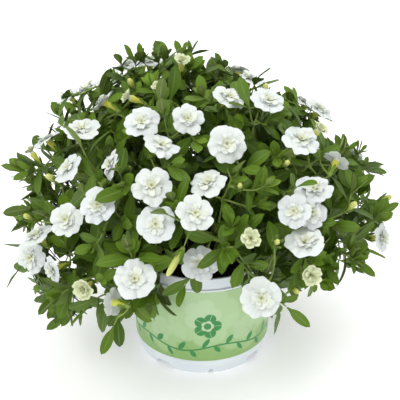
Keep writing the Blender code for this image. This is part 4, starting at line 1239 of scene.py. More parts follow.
class StemReader:
    """Takes one stem's solid apart."""

    def __init__(self, node):
        self.shape = welded(node)
        self.leaves, self.buds, self.opening = [], [], []
        self.read_leaves()
        self.read_buds()
        self.read_half_open()

    def read_leaves(self):
        """Find each leaf by its tip, two even shoulders and a waist of the right width."""
        taken = []
        for tip in [v for v in self.shape.verts if len(v.link_edges) == 3]:
            first, second, keel = by_distance(neighbours(tip), tip.co)
            gap = (first.co - second.co).length
            shoulder = (first.co + second.co) / 2
            length = (tip.co - shoulder).length / TIP_SHARE
            width = gap / SHOULDER_SHARE
            even = abs((first.co - tip.co).length - (second.co - tip.co).length) < NEAR
            if not even or not WIDTH_SHARES[0] < width / length < WIDTH_SHARES[1]:
                continue
            waist = self.waist(keel, (tip, first, second, keel), width)
            if waist is None:
                continue
            left, right = waist
            middle = (left.co + right.co) / 2
            face = (middle - keel.co).normalized()
            own = {tip, first, second, keel, left, right}
            beyond = [other for vert in (left, right, keel) for other in neighbours(vert)]
            roots = list(dict.fromkeys(other for other in beyond if other not in own))
            root = sum((v.co for v in roots), Vector()) / len(roots)
            side = face.cross(shoulder - middle).normalized()
            self.leaves.append(Leaf([root, middle, shoulder, tip.co.copy()], side, width, len(roots) == 3))
            taken.append(own)
        self.take_out(set().union(*taken))

    def waist(self, keel, own, width):
        """The two points at a leaf's widest part."""
        around = [vert for vert in neighbours(keel) if vert not in own]
        for a in around:
            for b in around:
                if a.index < b.index and abs((a.co - b.co).length - WAIST_SHARE * width) < NEAR:
                    return a, b
        return None

    def take_out(self, verts):
        """Delete points and close the holes that they leave."""
        bmesh.ops.delete(self.shape, geom=list(verts), context="VERTS")
        open_edges = [edge for edge in self.shape.edges if edge.is_boundary]
        bmesh.ops.holes_fill(self.shape, edges=open_edges, sides=0)
        self.shape.verts.index_update()

    def near(self, flower, reach, height):
        """Points at a distance from a bloom's axis and a height along it."""
        found = []
        for vert in self.shape.verts:
            off = vert.co - flower.centre
            rise = off.dot(flower.facing)
            if abs(rise - height) < NEAR and abs((off - flower.facing * rise).length - reach) < NEAR:
                found.append(vert)
        return found

    def crown(self, start, flower):
        """Everything that grows on from here beyond a calyx's seat."""
        found, edge = {start}, [start]
        while edge:
            vert = edge.pop()
            for other in neighbours(vert):
                off = other.co - flower.centre
                beyond = off.dot(flower.facing) > 0.5 * MM - TUBE_LENGTH and off.length < 1.6 * TUBE_LENGTH
                if beyond and other not in found:
                    found.add(other)
                    edge.append(other)
        return found

    def nearest(self, place):
        return min(self.shape.verts, key=lambda vert: (vert.co - place).length)

    def read_buds(self):
        """Find each closed bud by its tip of five equal edges, and its girth."""
        found = []
        for tip in [v for v in self.shape.verts if len(v.link_edges) == LOBES]:
            ring = neighbours(tip)
            middle = sum((v.co for v in ring), Vector()) / LOBES
            axis = (tip.co - middle).normalized()
            reaches = [(v.co - middle).length for v in ring]
            flat = max(abs((v.co - middle).dot(axis)) for v in ring)
            length = (tip.co - middle).length / BUD_SHARE
            girth = min(BUD_SLIMNESS * length + BUD_BASE * MM, BUD_WIDEST * MM)
            if max(reaches) - min(reaches) < NEAR and flat < NEAR and abs(reaches[0] - girth) < NEAR * 3:
                centre = tip.co - axis * (length - TUBE_LENGTH)
                flower = Flower(centre, axis, ring[0].co - middle, length, len(found))
                found.append((flower, tip.co.copy()))
        self.buds = [flower for flower, _ in found]
        for flower, tip in found:
            self.take_out(self.crown(self.nearest(tip), flower))

    def read_half_open(self):
        """Find each half-open bloom by its heart of ten edges, inside an even ring of five notches."""
        found = []
        for heart in [v for v in self.shape.verts if len(v.link_edges) == 2 * LOBES]:
            notches = by_distance(neighbours(heart), heart.co)[:LOBES]
            middle = sum((v.co for v in notches), Vector()) / LOBES
            axis = (middle - heart.co).normalized()
            notch_rise = OPENING_CUP * 0.7 + 0.24 - HEART_SHARE - OPENING_CUP * 0.5
            radius = (middle - heart.co).length / notch_rise
            reaches = [(v.co - middle).length for v in notches]
            if max(reaches) - min(reaches) > NEAR or not OPENING_RADII[0] < radius < OPENING_RADII[1]:
                continue
            centre = heart.co - axis * radius * (HEART_SHARE + OPENING_CUP * 0.5)
            lobe = -(notches[0].co - middle)
            flower = Flower(centre, axis, lobe, radius, OPENING_NUMBER + len(found), OPENING_CUP)
            found.append((flower, heart.co.copy()))
        self.opening = [flower for flower, _ in found]
        for flower, place in found:
            self.take_out(self.crown(self.nearest(place), flower))

    def strip_calyx(self, flower):
        """Take out a calyx if this stem bears it, and say whether it did."""
        seat = self.near(flower, CALYX_SEAT, -TUBE_LENGTH - 0.3 * MM)
        tips = self.near(flower, SEPAL_REACH, SEPAL_RISE - TUBE_LENGTH)
        if len(seat) < 3:
            return False
        self.take_out(set(seat) | set(tips))
        return True


readers = {node: StemReader(node) for node in stem_nodes}
print("leaves found:", sum(len(reader.leaves) for reader in readers.values()))
print("buds found:", sum(len(reader.buds) for reader in readers.values()))
print("half-open blooms found:", sum(len(reader.opening) for reader in readers.values()))

# %% [markdown]
# A calyx can belong to a bloom of any node, so each stem is asked for every bloom, open ones first.

# %% Reading the calyces
open_flowers = [flower for found in flowers.values() for flower in found]
calyces = {}
for node, reader in readers.items():
    stripped = [flower for flower in open_flowers if reader.strip_calyx(flower)]
    own = reader.buds + reader.opening
    for flower in own:
        reader.strip_calyx(flower)
    calyces[node] = stripped + own
print("calyces found:", sum(len(found) for found in calyces.values()))

# %% [markdown]
# A leaf's centre line runs through the four points read from the solid. Its halves fold up a little from
# the midrib, the rim waves, and below the midrib the underside stands out as a rib. The three finishes of a
# leafy piece are in the order of a thin sheet's sides: upper, lower and root.

# %% Leaf blades
LEAF_COLUMNS = np.array([-1.0, -0.55, 0.0, 0.55, 1.0])
LEAF_THICKNESS = 0.45 * MM
RIB_DEPTH = 0.5 * MM


def smooth_line(line, shares):
    """Points on a smooth curve through a few given points."""
    line = [np.array(p) for p in line]
    steps = [0.0]
    for a, b in zip(line, line[1:]):
        steps.append(steps[-1] + np.linalg.norm(b - a))
    steps = np.array(steps) / steps[-1]
    ends = [2 * line[0] - line[1]] + line + [2 * line[-1] - line[-2]]
    found = []
    for share in shares:
        k = min(int(np.searchsorted(steps, share, side="right")) - 1, len(line) - 2)
        t = (share - steps[k]) / (steps[k + 1] - steps[k])
        a, b, c, d = ends[k : k + 4]
        bend = 2 * b + (c - a) * t + (2 * a - 5 * b + 4 * c - d) * t**2 + (3 * b - a - 3 * c + d) * t**3
        found.append(bend / 2)
    return np.array(found)


def half_width(share):
    """A leaf's outline: a short stalk, widest just past the middle, with a blunt point."""
    body = np.sin(np.pi * np.clip(share, 0, 1) ** 1.15) ** 0.6
    return body * np.minimum(1, 0.30 + 2.1 * share) / 2


def add_leaf(gathering, leaf, draw, rows, youth_and_light=0.0, painted_shade=0.0):
    """A blade along a leaf's centre line. Painted shade lowers a leaf's tone, so that it is darker."""
    shares = np.linspace(0, 1, rows) ** 0.9
    centres = smooth_line(leaf.line, shares)
    way = unit_rows(np.gradient(centres, axis=0))
    right = np.array(leaf.right)
    right = unit_rows(right - way * (way @ right)[:, None])
    face = np.cross(way, right)
    half = np.maximum(half_width(shares) * leaf.width, 0.55 * MM)
    half[-1] = 0
    fold = draw.uniform(0.12, 0.42)
    wave = draw.uniform(0.02, 0.10)
    beats, shift = draw.uniform(5, 11), draw.uniform(0, 6)
    points = []
    for k, share in enumerate(shares):
        lift = fold * (np.abs(LEAF_COLUMNS) - 0.45 * LEAF_COLUMNS**2)
        lift = lift + wave * LEAF_COLUMNS * np.sin(beats * share + shift + (LEAF_COLUMNS > 0) * 1.7)
        across = np.outer(LEAF_COLUMNS * half[k], right[k])
        points.append(centres[k] + across + np.outer(lift * half[k], face[k]))
    drop = np.array([0, LEAF_THICKNESS, RIB_DEPTH + LEAF_THICKNESS, LEAF_THICKNESS, 0])
    depth = drop * (1 - 0.7 * shares[:, None])
    ups = face[:, None, :] * np.ones((1, len(drop), 1))
    points, faces, sides, used = lens(np.array(points), ups, depth)
    across = np.tile((LEAF_COLUMNS + 1) / 2, 2 * rows)
    along = np.tile(np.repeat(shares, len(LEAF_COLUMNS)), 2)
    blade = np.stack([across, along], 1)[used]
    # Painted shade: the random tone is lowered here for leaves deep inside the mound.
    gathering.add(points, faces, sides, blade, (draw.random() * (1 - painted_shade), youth_and_light))


print("width of a leaf of 1 by eighths:", [round(float(w), 2) for w in 2 * half_width(np.linspace(0, 1, 9))])

# %% [markdown]
# What is left of each stem's solid is a bare three-sided stem with stubs where leaves stood. A Subdivision
# Surface rounds it. That also thins it, so its skin is pushed out again along its normals.

# %% Bare stems
STEM_LEVELS = 2
STEM_SWELL = 0.32 * MM
STEM_SKIN = 2


def add_bare_stem(gathering, shape):
    """What is left of a stem's solid, rounded."""
    limits = {"angle_face_threshold": 0.5, "angle_shape_threshold": 1.2}
    bmesh.ops.join_triangles(shape, faces=shape.faces, cmp_seam=False, **limits)
    mesh = bpy.data.meshes.new("bare_stem")
    shape.to_mesh(mesh)
    made = bpy.data.objects.new("bare_stem", mesh)
    bpy.context.scene.collection.objects.link(made)
    rounding = made.modifiers.new("round", "SUBSURF")
    rounding.levels = rounding.render_levels = STEM_LEVELS
    apply_modifiers(made)
    points = [tuple(v.co + v.normal * STEM_SWELL) for v in made.data.vertices]
    faces = [tuple(face.vertices) for face in made.data.polygons]
    bpy.data.objects.remove(made)
    gathering.add(points, faces, STEM_SKIN)


print("faces of the bare stems:", sum(len(reader.shape.faces) for reader in readers.values()))

# %% [markdown]
# A calyx is a small cup with five narrow green sepals that hold the tube. Blender could array one round the
# stalk, but since each bloom faces its own way, the same leaf blade is placed five times by the bloom's
# axes.

# %% Calyces, buds and half-open blooms
SEPAL_WIDTH = 2.7 * MM
CUP_PROFILE = ((0.0, -4.4), (1.0, -4.1), (1.9, -2.6), (2.35, -0.9), (2.0, -0.3), (0.0, -0.4))
CUP_SIDES = 12
SEPAL_YOUTH = 0.55
BUD_SIDES = 20
BUD_SHARES = (0.0, 0.04, 0.18, 0.34, 0.50, 0.64, 0.78, 0.90, 0.97, 1.0)
BUD_SHOULDER = 0.64


def add_calyx(gathering, flower, draw):
    """The cup and the five sepals that hold a bloom's tube."""
    foot = -TUBE_LENGTH / MM
    rings = []
    for reach, height in CUP_PROFILE:
        turns = [FULL_TURN * k / CUP_SIDES for k in range(CUP_SIDES if reach else 1)]
        rings.append([(reach * math.cos(turn), reach * math.sin(turn), foot + height) for turn in turns])
    points, faces = skin_of_rings(rings, CUP_SIDES)
    gathering.add(flower.place(points * MM), [face[::-1] for face in faces], STEM_SKIN)
    for k in range(LOBES):
        turn = FULL_TURN * (k + 0.5) / LOBES + draw.uniform(-0.12, 0.12)
        flare = draw.uniform(0.7, 1.25)
        profile = ((1.7, -2.2), (2.9 * flare**0.3, 0.8), (3.8 * flare, 4.0), (5.0 * flare, 7.4))
        line = [Vector((r * math.cos(turn), r * math.sin(turn), foot + h)) * MM for r, h in profile]
        line = [Vector(p) for p in flower.place(line)]
        side = flower.lobe * math.sin(turn) - flower.other * math.cos(turn)
        add_leaf(gathering, Leaf(line, side, SEPAL_WIDTH), draw, 5, SEPAL_YOUTH)


def add_bud(gathering, bud):
    """A closed bud: five folds that wind round it towards the tip."""
    length = bud.radius / MM
    girth = min(BUD_SLIMNESS * length + BUD_BASE, BUD_WIDEST)
    rings, reaches = [], []
    for share in BUD_SHARES:
        swelling = (0.62 + 0.38 * math.sin(min(share / BUD_SHOULDER, 1.0) * math.pi / 2)) * girth
        swelling *= math.sqrt(max(0.0, 1 - max(0.0, (share - 0.6) / 0.4) ** 2.4))
        swelling = 0.0 if share in (0.0, 1.0) else swelling
        height = share * length - TUBE_LENGTH / MM - 0.5
        ring = []
        for k in range(BUD_SIDES if swelling else 1):
            turn = FULL_TURN * k / BUD_SIDES
            reach = swelling * (1 + 0.13 * math.cos(LOBES * (turn - 1.1 * share)))
            ring.append((reach * math.cos(turn), reach * math.sin(turn), height))
        rings.append(ring)
        reaches += [(0.0, share)] * len(ring)
    points, faces = skin_of_rings(rings, BUD_SIDES)
    gathering.add(bud.place(points * MM), [face[::-1] for face in faces], 0, reaches, (0.0, 1.0))


print("sides of a cup and of a bud:", CUP_SIDES, BUD_SIDES)

# %% [markdown]
# The solids hold every main shoot, but the real mound is far denser: each shoot carries short side shoots
# that end in a rosette of small leaves. Here they are grown by rule. The mound is taken as a dome on a
# shallower bowl, both round the same heart. `level` says how far out in it a point lies, and `outward`
# which way its surface faces there.


# %% The mound's form
HEART = Vector((0, 0, 0.143))
MOUND_RADIUS = 0.172
DOME_HEIGHT = 0.142
BOWL_DEPTH = 0.066


def from_heart(point):
    """A point's place from the mound's heart, and how far the mound reaches up or down on that side."""
    off = point - HEART
    return off, DOME_HEIGHT if off.z > 0 else BOWL_DEPTH


def level(point):
    """Under 1 inside the mound and 1 on its surface."""
    off, rise = from_heart(point)
    return math.sqrt((off.x**2 + off.y**2) / MOUND_RADIUS**2 + (off.z / rise) ** 2)


def outward(point):
    """The way that the mound's surface faces near a point."""
    off, rise = from_heart(point)
    return Vector((off.x / MOUND_RADIUS**2, off.y / MOUND_RADIUS**2, off.z / rise**2)).normalized()


print("mound's height:", round(DOME_HEIGHT + BOWL_DEPTH, 3))

# %% [markdown]
# From the camera the real mound isn't a smooth dome: sprigs stand up from its top, and beside the pot it
# hangs lower on the left than on the right. The skyline and the hem follow the photographed outline from
# left to right, at real size: millimetres across and up from the foot of the pot's axis, in the plane
# through it that faces the camera. A leaf that would leave that outline isn't grown.

# %% The outline that the camera sees
SKYLINE = [(-202, 190), (-162, 192), (-146, 224), (-100, 228), (-84, 268), (-62, 272), (-42, 284)]
SKYLINE += [(-22, 299), (-2, 286), (18, 262), (30, 244), (58, 238), (72, 246), (84, 240)]
SKYLINE += [(98, 214), (138, 194), (158, 184), (180, 180), (200, 150)]
HEM = [(-202, 92), (-182, 88), (-172, 50), (-160, 6), (-122, 8), (-102, 20), (-80, 24)]
HEM += [(-70, -40), (60, -40), (76, 20), (98, 36), (138, 48), (200, 56)]


def in_outline(points, headroom=0.0):
    """Whether the camera sees all points over the hem and under the skyline, which some headroom can lift."""
    ahead = np.asarray(points) - np.array(eye)
    scale = EYE_RANGE / (ahead @ np.array(view_gaze))
    across = (EYE_CENTRE[0] + ahead[:, 0] * scale) / MM
    up = (EYE_CENTRE[1] + (ahead @ np.array(view_rise)) * scale) / MM
    skyline = np.interp(across, *zip(*SKYLINE)) + headroom
    return bool(((up < skyline) & (up > np.interp(across, *zip(*HEM)))).all())


print("skyline's top in millimetres:", max(up for _, up in SKYLINE))

# %% [markdown]
# `Room` says whether points are free. They keep clear of every bloom's tube and of the space over its face,
# and they don't stand in front of a bloom that the photograph shows. They stay out of the pot, out of the
# hollow at the front where its rim shows, off the ground, within the solids' box and inside the outline.

# %% Room for leaves
BLOOM_HEADROOM = 0.045
FRONT_BLOOM_NODES = 29
POT_ROOM_RADIUS = 0.0690
POT_ROOM_TOP = 0.1085
HOLLOW_HALF_WIDTH = 0.034
HOLLOW_BACK = -0.015
HOLLOW_TOP = 0.150
LOWEST = 0.043
BOX_ROOM = 0.006


class Room:
    """Says whether points are free of the blooms, the pot and the hollow at the front."""

    def __init__(self, found):
        self.centres = np.array([flower.centre for flower in found])
        self.facings = np.array([flower.facing for flower in found])
        self.radii = np.array([flower.radius for flower in found])
        self.seen = np.array([flower.number < FRONT_BLOOM_NODES for flower in found])
        self.sight = np.array([(eye - flower.centre).normalized() for flower in found])
        self.headroom = 0.0

    def clear_of_blooms(self, points):
        off = points[:, None, :] - self.centres[None]
        rise = (off * self.facings).sum(2)
        reach = np.linalg.norm(off - rise[..., None] * self.facings, axis=2)
        under_tube = (rise > -0.013) & (rise < -0.002) & (reach < 0.005)
        over_face = (rise > -0.003) & (rise < BLOOM_HEADROOM) & (reach < self.radii * 0.97)
        ahead = (off * self.sight).sum(2)
        aside = np.linalg.norm(off - ahead[..., None] * self.sight, axis=2)
        hides = self.seen & (ahead > 0.002) & (aside < self.radii * 0.90)
        return not (under_tube | over_face | hides).any()

    def clear_of_pot(self, points):
        x, y, z = points.T
        in_pot = (np.hypot(x, y) < POT_ROOM_RADIUS) & (z < POT_ROOM_TOP)
        in_hollow = (np.abs(x) < HOLLOW_HALF_WIDTH) & (y < HOLLOW_BACK) & (z < HOLLOW_TOP)
        return not (in_pot | in_hollow | (z < LOWEST)).any()

    def in_box(self, points):
        low, high = np.array(solid_box)
        return not ((points < low - BOX_ROOM) | (points > high + BOX_ROOM)).any()

    def free(self, points):
        points = np.asarray(points)
        if not (self.clear_of_blooms(points) and self.clear_of_pot(points) and self.in_box(points)):
            return False
        return in_outline(points, self.headroom)


room = Room(open_flowers + [flower for reader in readers.values() for flower in reader.opening])
print("blooms to keep clear of:", len(room.radii))

# %% [markdown]
# Spots for the small shoots are spread over the mound's surface, and over shells inside it, by the golden
# angle, which leaves no rows. A spot outside the outline slides back towards the heart until it is inside.

# %% Where the small shoots go
SPOTS_TOP = 0.99
SPOTS_SPAN = 1.72
OUTLINE_STEP = 0.03
DEEPEST_SHARE = 0.4


def golden_spots(share, count, first):
    """Spots spread evenly over the mound, from its top to well under its edge."""
    spots = []
    for k in range(count):
        rise = SPOTS_TOP - SPOTS_SPAN * (k + 0.5) / count
        flat = math.sqrt(1 - rise * rise)
        turn = (k + first) * GOLDEN_ANGLE
        direction = Vector((flat * math.cos(turn), flat * math.sin(turn), rise))
        surface, reach = direction * (share / level(HEART + direction)), 1.0
        while reach > DEEPEST_SHARE and not in_outline([HEART + surface * reach]):
            reach -= OUTLINE_STEP
        spots.append(HEART + surface * reach)
    return spots


print("first spot on the surface:", [round(c, 3) for c in golden_spots(1.0, 170, 0)[0]])

# %% [markdown]
# A small shoot grows from the skin of a bare stem. `Anchors` keeps places along the longest edge of each
# face, with the way that the stem runs there. Near stems come first, and those that already head for the
# spot.

# %% Where a shoot can start
SHOOT_REACH = 0.075
ANCHOR_STEP = 6 * MM
NEAREST_ANCHOR = 9 * MM
LOWEST_ANCHOR = 0.100


class Anchors:
    """The skin of every bare stem, to grow shoots from."""

    def __init__(self, stems):
        self.spots = []
        for owner, reader in stems.items():
            for face in reader.shape.faces:
                longest = max(face.edges, key=lambda edge: edge.calc_length())
                ends = [v.co for v in longest.verts]
                way = (ends[1] - ends[0]).normalized()
                way = way if way.dot(outward(ends[0]) + UP * 0.3) > 0 else -way
                pieces = max(1, int(longest.calc_length() / ANCHOR_STEP))
                for k in range(pieces):
                    at = ends[0].lerp(ends[1], (k + 0.5) / pieces)
                    at = at.lerp(face.calc_center_median(), 0.3)
                    self.spots.append((owner, at, way))
        self.tree = KDTree(len(self.spots))
        for number, (_, at, _) in enumerate(self.spots):
            self.tree.insert(at, number)
        self.tree.balance()

    def choices(self, spot):
        """A few stem spots to grow from, the easiest first."""
        found = []
        for at, number, distance in self.tree.find_range(spot, SHOOT_REACH):
            owner, _, way = self.spots[number]
            if distance > NEAREST_ANCHOR and at.z > LOWEST_ANCHOR:
                lean = (spot - at).normalized().dot(way)
                found.append((distance * (1.7 - lean) + 0.02 * max(0.0, level(at) - level(spot)), number))
        return [self.spots[number] for _, number in sorted(found)[:40:8]]


anchors = Anchors(readers)
print("places to start from:", len(anchors.spots))


# %% [markdown]
# A shoot is a tube along a Bezier curve, thinner towards its tip. Blender's curve objects could do it, but
# then every one of some five hundred shoots would have to be turned into a mesh and joined.

# %% A shoot
SHOOT_SIDES = 6


def curve_points(start, first_pull, second_pull, end, steps):
    """Points along a Bezier curve."""
    points = []
    for step in range(steps + 1):
        t = step / steps
        s = 1 - t
        points.append(start * s**3 + first_pull * 3 * s * s * t + second_pull * 3 * s * t * t + end * t**3)
    return points


def add_shoot(gathering, path, radius):
    """A round, tapering shoot."""
    side = (path[1] - path[0]).orthogonal().normalized()
    turns = [FULL_TURN * k / SHOOT_SIDES for k in range(SHOOT_SIDES)]
    rings = [[path[0] - (path[1] - path[0]).normalized() * radius]]
    for k, point in enumerate(path):
        way = (path[min(k + 1, len(path) - 1)] - path[max(k - 1, 0)]).normalized()
        side = (side - way * side.dot(way)).normalized()
        other = way.cross(side)
        reach = radius * (1 - 0.55 * k / (len(path) - 1))
        rings.append([point + (side * math.cos(a) + other * math.sin(a)) * reach for a in turns])
    rings.append([path[-1] + way * radius * 0.5])
    points, faces = skin_of_rings([[tuple(p) for p in ring] for ring in rings], SHOOT_SIDES)
    gathering.add(points, faces, STEM_SKIN)


def back_along(path, distance):
    """The point at a distance back from a path's end, and the way the path runs there."""
    for a, b in zip(reversed(path[:-1]), reversed(path[1:])):
        step = (b - a).length
        if distance <= step:
            return b.lerp(a, distance / step), (b - a).normalized()
        distance -= step
    return path[0], (path[1] - path[0]).normalized()


print("sides of a shoot:", SHOOT_SIDES)

# %% [markdown]
# Leaves go round a shoot in a spiral, smallest and closest at the tip. A real leaf turns its upper side to
# the light, so each one here is turned part of the way towards where it comes from: above and the front, as
# in the photograph. A leaf that finds no room is tried twice more, a little further round, and then left
# out.

# %% Leaves on a shoot
LIGHT_SEEKING = 0.58
LIGHT_FROM = Vector((-0.1, -0.7, 0.85))
LEAF_BENDS = ((0.4, 0.4), (0.76, 0.36), (1.0, 0.24))
LEAF_SPACES = (0.0, 1.2, 2.8, 4.8, 7.4, 10.6, 14.6, 19.4, 25.0, 31.5, 39.0)
LEAF_SIZES = (11.0, 15.0, 18.0, 20.0, 22.0, 23.5, 25.0, 26.0, 26.0, 26.0, 26.0)
DRESSED_SHARE = 0.85
TRIES = 3
MAIN_LEAF_ROWS = 9
SMALL_LEAF_ROWS = 6


def small_leaf(root, way, turn, spread, length, width, droop):
    """A leaf that leaves a shoot at an angle, its upper side to the shoot's tip and the light."""
    side = way.orthogonal().normalized()
    radial = Matrix.Rotation(turn, 3, way) @ side
    along = (way * math.cos(spread) + radial * math.sin(spread)).normalized()
    face = (way * math.sin(spread) - radial * math.cos(spread)).normalized()
    face = face.lerp((outward(root) * 0.6 + LIGHT_FROM).normalized(), LIGHT_SEEKING)
    right = face.cross(along).normalized()
    line, point = [root], root
    for share, step in LEAF_BENDS:
        bent = Matrix.Rotation(droop * share, 3, right) @ along
        bent = (bent + UP * 0.10).normalized()
        point = point + bent * step * length
        line.append(point)
    return Leaf(line, right, width)


def leaf_test_points(leaf):
    """Points that stand for a leaf when it is tested for room."""
    a, b, c, d = leaf.line
    half = leaf.right * leaf.width / 2
    points = (a.lerp(b, 0.5), b, c, d, b + half, b - half, c + half * 0.8, c - half * 0.8)
    return [tuple(p) for p in points]


def dress_shoot(gathering, path, draw, youth_and_light, size=1.0, painted_shade=0.0):
    """Leaves in a spiral back from a shoot's tip: a rosette, then wider steps. It gives their number."""
    length = sum((b - a).length for a, b in zip(path, path[1:]))
    turn, grown = draw.uniform(0, FULL_TURN), 0
    for order, (space, leaf_length) in enumerate(zip(LEAF_SPACES, LEAF_SIZES)):
        back = space * MM * size
        if back > length * DRESSED_SHARE:
            break
        turn += GOLDEN_ANGLE
        root, way = back_along(path, back)
        spread = 0.38 + 0.13 * order + draw.uniform(-0.12, 0.15)
        reach = leaf_length * MM * size * draw.uniform(0.85, 1.15)
        width = reach * (draw.uniform(0.44, 0.54) - 0.012 * order)
        for attempt in range(TRIES):
            spin = turn + draw.uniform(-0.3, 0.3) + attempt * 0.7
            droop = draw.uniform(-0.25, 0.20) + 0.06 * order
            leaf = small_leaf(root, way, spin, min(spread, 1.35), reach, width, droop)
            if room.free(leaf_test_points(leaf)):
                own_youth_and_light = max(0.0, youth_and_light * (1 - 0.16 * order))
                add_leaf(gathering, leaf, draw, SMALL_LEAF_ROWS, own_youth_and_light, painted_shade)
                grown += 1
                break
    return grown


print("leaves of a long shoot:", len(LEAF_SIZES))

# %% [markdown]
# First come the leaves and calyces that were read out of the solids, each in its own stem's piece. A leaf
# that ends a main shoot gets a rosette of small leaves round its root.

# %% The stems' own leaves
ROSETTE_LENGTH = 9 * MM
gathered_stems = {node: Gathering() for node in stem_nodes}
leaf_count = 0
for node, reader in readers.items():
    draw = random.Random(f"leaves of {node}")
    for leaf in reader.leaves:
        add_leaf(gathered_stems[node], leaf, draw, MAIN_LEAF_ROWS, draw.uniform(0.0, 0.25))
        if leaf.at_tip:
            way = (leaf.line[1] - leaf.line[0]).normalized()
            back = leaf.line[0] - way * ROSETTE_LENGTH
            path = [back, back.lerp(leaf.line[0], 0.5), leaf.line[0]]
            leaf_count += dress_shoot(gathered_stems[node], path, draw, draw.uniform(0.3, 0.7), 0.9)
    for flower in calyces[node]:
        add_calyx(gathered_stems[node], flower, draw)
print("leaves round the main tips:", leaf_count)

# %% [markdown]
# Then the small shoots, shell by shell from the surface inwards. Leaves near the top of the mound are young
# and yellow-green, and are made lighter still as painted sunlight. Those of the inner shells are painted
# darker, as painted shade.

# %% The small shoots
SHELLS = ((1.00, 170), (0.88, 130), (0.74, 110), (0.58, 90), (0.42, 50))
SHELL_STEP = 7
RAGGED = 20.0
SCATTER = 6
SHOOT_RADIUS = 0.95 * MM
SHOOT_STEPS = 5
PULL = 0.4
SUNLIT_FROM = 0.19
SUNLIT_DEPTH = 0.08


def grow_shoot(spot, draw, light):
    """Grow a dressed shoot to a spot from the easiest stem that leaves it room, and count its leaves."""
    for owner, start, way in anchors.choices(spot) if room.free([spot]) else []:
        reach = (spot - start).length
        arrive = (outward(spot) * 0.7 + UP * 0.6 + (spot - start).normalized() * 0.6).normalized()
        pulls = (start + way * reach * PULL, spot - arrive * reach * PULL)
        path = curve_points(start, *pulls, spot, SHOOT_STEPS)
        if room.free(path[1:]):
            add_shoot(gathered_stems[owner], path, SHOOT_RADIUS)
            # Painted sunlight: leaves high on the mound get more of the young, lighter green, all scaled by
            # the light.
            height = min(1.0, max(0.0, (spot.z - SUNLIT_FROM) / SUNLIT_DEPTH))
            youth_and_light = min(1.0, draw.uniform(0.25, 0.95) + 0.40 * height) * light
            size = draw.uniform(0.85, 1.30)
            # Painted shade: where the light is low, this shoot's leaves are darkened.
            return dress_shoot(gathered_stems[owner], path, draw, youth_and_light, size, 1 - light)
    return 0


grown = []
for shell, (share, count) in enumerate(SHELLS):
    for number, spot in enumerate(golden_spots(share, count, SHELL_STEP * shell)):
        draw = random.Random(f"shoot {shell} {number}")
        spot = spot + Vector([draw.uniform(-SCATTER, SCATTER) * MM for _ in range(3)])
        spot = spot - outward(spot) * draw.uniform(0, RAGGED) * MM
        # Painted light: full on the outer shell and none from a share of 0.70 inwards, which gets painted
        # shade.
        grown.append(grow_shoot(spot, draw, max(0.0, (share - 0.70) / 0.30)))
print("shoots by rule:", sum(1 for leaves in grown if leaves), "of", len(grown))

# %% [markdown]
# Two groups are placed by their purpose. On the left the photograph shows shoots that hang beside the pot,
# so a few spots there are given one by one, in millimetres. They were picked by hand where a trial found
# that a shoot can reach. And the blooms of the far side would show edge-on over the mound's top, so short
# shoots are grown just before them, with some headroom over the skyline.

# %% Hanging shoots, and shoots before the far blooms
HANGING_SPOTS = [(-125, -80, 76), (-133, -60, 74), (-117, -90, 84), (-109, -80, 84), (-125, -70, 92)]
HANGING_SPOTS += [(-143, -58, 84), (-147, -44, 72), (-150, -60, 98), (-137, -76, 90)]
HANGING_LIGHT = 0.8
SCREEN_STEPS = (-14.0, -7.0, 0.0, 7.0, 14.0)
SCREEN_DISTANCES = (10.0, 18.0)
SCREEN_RISE = 3.0
SCREEN_HEADROOM = 26.0
SCREEN_LIGHT = 0.7

hanging = []
for number, spot in enumerate(HANGING_SPOTS):
    hanging.append(grow_shoot(Vector(spot) * MM, random.Random(f"hanging {number}"), HANGING_LIGHT))
print("hanging shoots' leaves:", hanging)

room.headroom = SCREEN_HEADROOM
screens = []
for flower in [flower for flower in open_flowers if flower.number >= FRONT_BLOOM_NODES]:
    sight = (eye - flower.centre).normalized()
    across = sight.cross(UP).normalized()
    for number, step in enumerate(SCREEN_STEPS):
        ahead = SCREEN_DISTANCES[number % len(SCREEN_DISTANCES)]
        spot = flower.centre + (sight * ahead + across * step + view_rise * SCREEN_RISE) * MM
        screens.append(grow_shoot(spot, random.Random(f"screen {flower.number} {step}"), SCREEN_LIGHT))
print("shoots before the far blooms:", sum(1 for leaves in screens if leaves), "of", len(screens))
grown += hanging + screens
print("small shoots:", sum(1 for leaves in grown if leaves), "with leaves:", sum(grown))

# %% [markdown]
# Last the bare stems join their leaves, and each stem becomes one piece. Buds and half-open blooms have
# finishes of their own, so they are gathered apart.

# %% The leafy pieces
OPENING_CREAM = 0.75

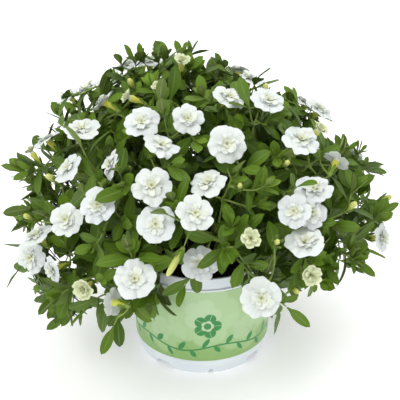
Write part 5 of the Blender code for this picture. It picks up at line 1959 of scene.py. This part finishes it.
for node, gathered in gathered_stems.items():
    add_bare_stem(gathered, readers[node].shape)
    stand_for(gathered.piece(node.replace("stem", "shoots"), SHEET_FINISHES), "leafy_stem", node)
buds = Gathering(("petal", "bloom"))
half_open = Gathering(("petal", "bloom"))
for reader in readers.values():
    for bud in reader.buds:
        add_bud(buds, bud)
    for flower in reader.opening:
        make_flower(half_open, flower, cream=OPENING_CREAM)
stand_for(buds.piece("young_buds", [BUD], BLOOM_CREASE), "leafy_stem")
stand_for(half_open.piece("half_open_blooms", [PETAL], BLOOM_CREASE), "petals")
added = [made for made in bpy.data.objects if made.type == "MESH" and "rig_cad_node" not in made]
print("triangles added:", sum(len(face.vertices) - 2 for made in added for face in made.data.polygons))

# %% [markdown]
# The photograph was lit like a catalogue picture: a white ground, broad soft light from above and the
# front, and no hard shadow. A pale floor, a white sky and two wide lamps give that.

# %% The floor
FLOOR_CORNERS = [(-6, -4, 0), (6, -4, 0), (6, 8, 0), (-6, 8, 0)]

floor_mesh = bpy.data.meshes.new("floor")
floor_mesh.from_pydata(FLOOR_CORNERS, [], [(0, 1, 2, 3)])
floor = bpy.data.objects.new("floor", floor_mesh)
bpy.context.scene.collection.objects.link(floor)
floor_finish = Finish("floor", roughness=0.8, emission_strength=0.15)
floor_finish.set("Base Color", (0.97, 0.97, 0.97))
floor_finish.set("Emission Color", (1.0, 1.0, 1.0))
floor_mesh.materials.append(floor_finish.data)
print("floor corners:", FLOOR_CORNERS)

# %% The light
SKY_STRENGTH = 0.88

world = bpy.data.worlds.new("sky")
world.use_nodes = True
world.node_tree.nodes["Background"].inputs["Color"].default_value = (1, 1, 1, 1)
world.node_tree.nodes["Background"].inputs["Strength"].default_value = SKY_STRENGTH
bpy.context.scene.world = world
bpy.context.scene.view_settings.view_transform = "Standard"


def lamp(name, place, aim, size, power):
    """A wide round lamp that looks at a point."""
    data = bpy.data.lights.new(name, "AREA")
    data.shape = "DISK"
    data.size, data.energy = size, power
    made = bpy.data.objects.new(name, data)
    bpy.context.scene.collection.objects.link(made)
    made.location = place
    made.rotation_euler = (Vector(aim) - Vector(place)).to_track_quat("-Z", "Y").to_euler()
    return made


lamp("key", (-1.0, -1.5, 2.0), (0, 0, 0.15), 1.4, 30)
lamp("top", (0.6, 0.5, 2.4), (0, 0, 0.1), 1.8, 24)
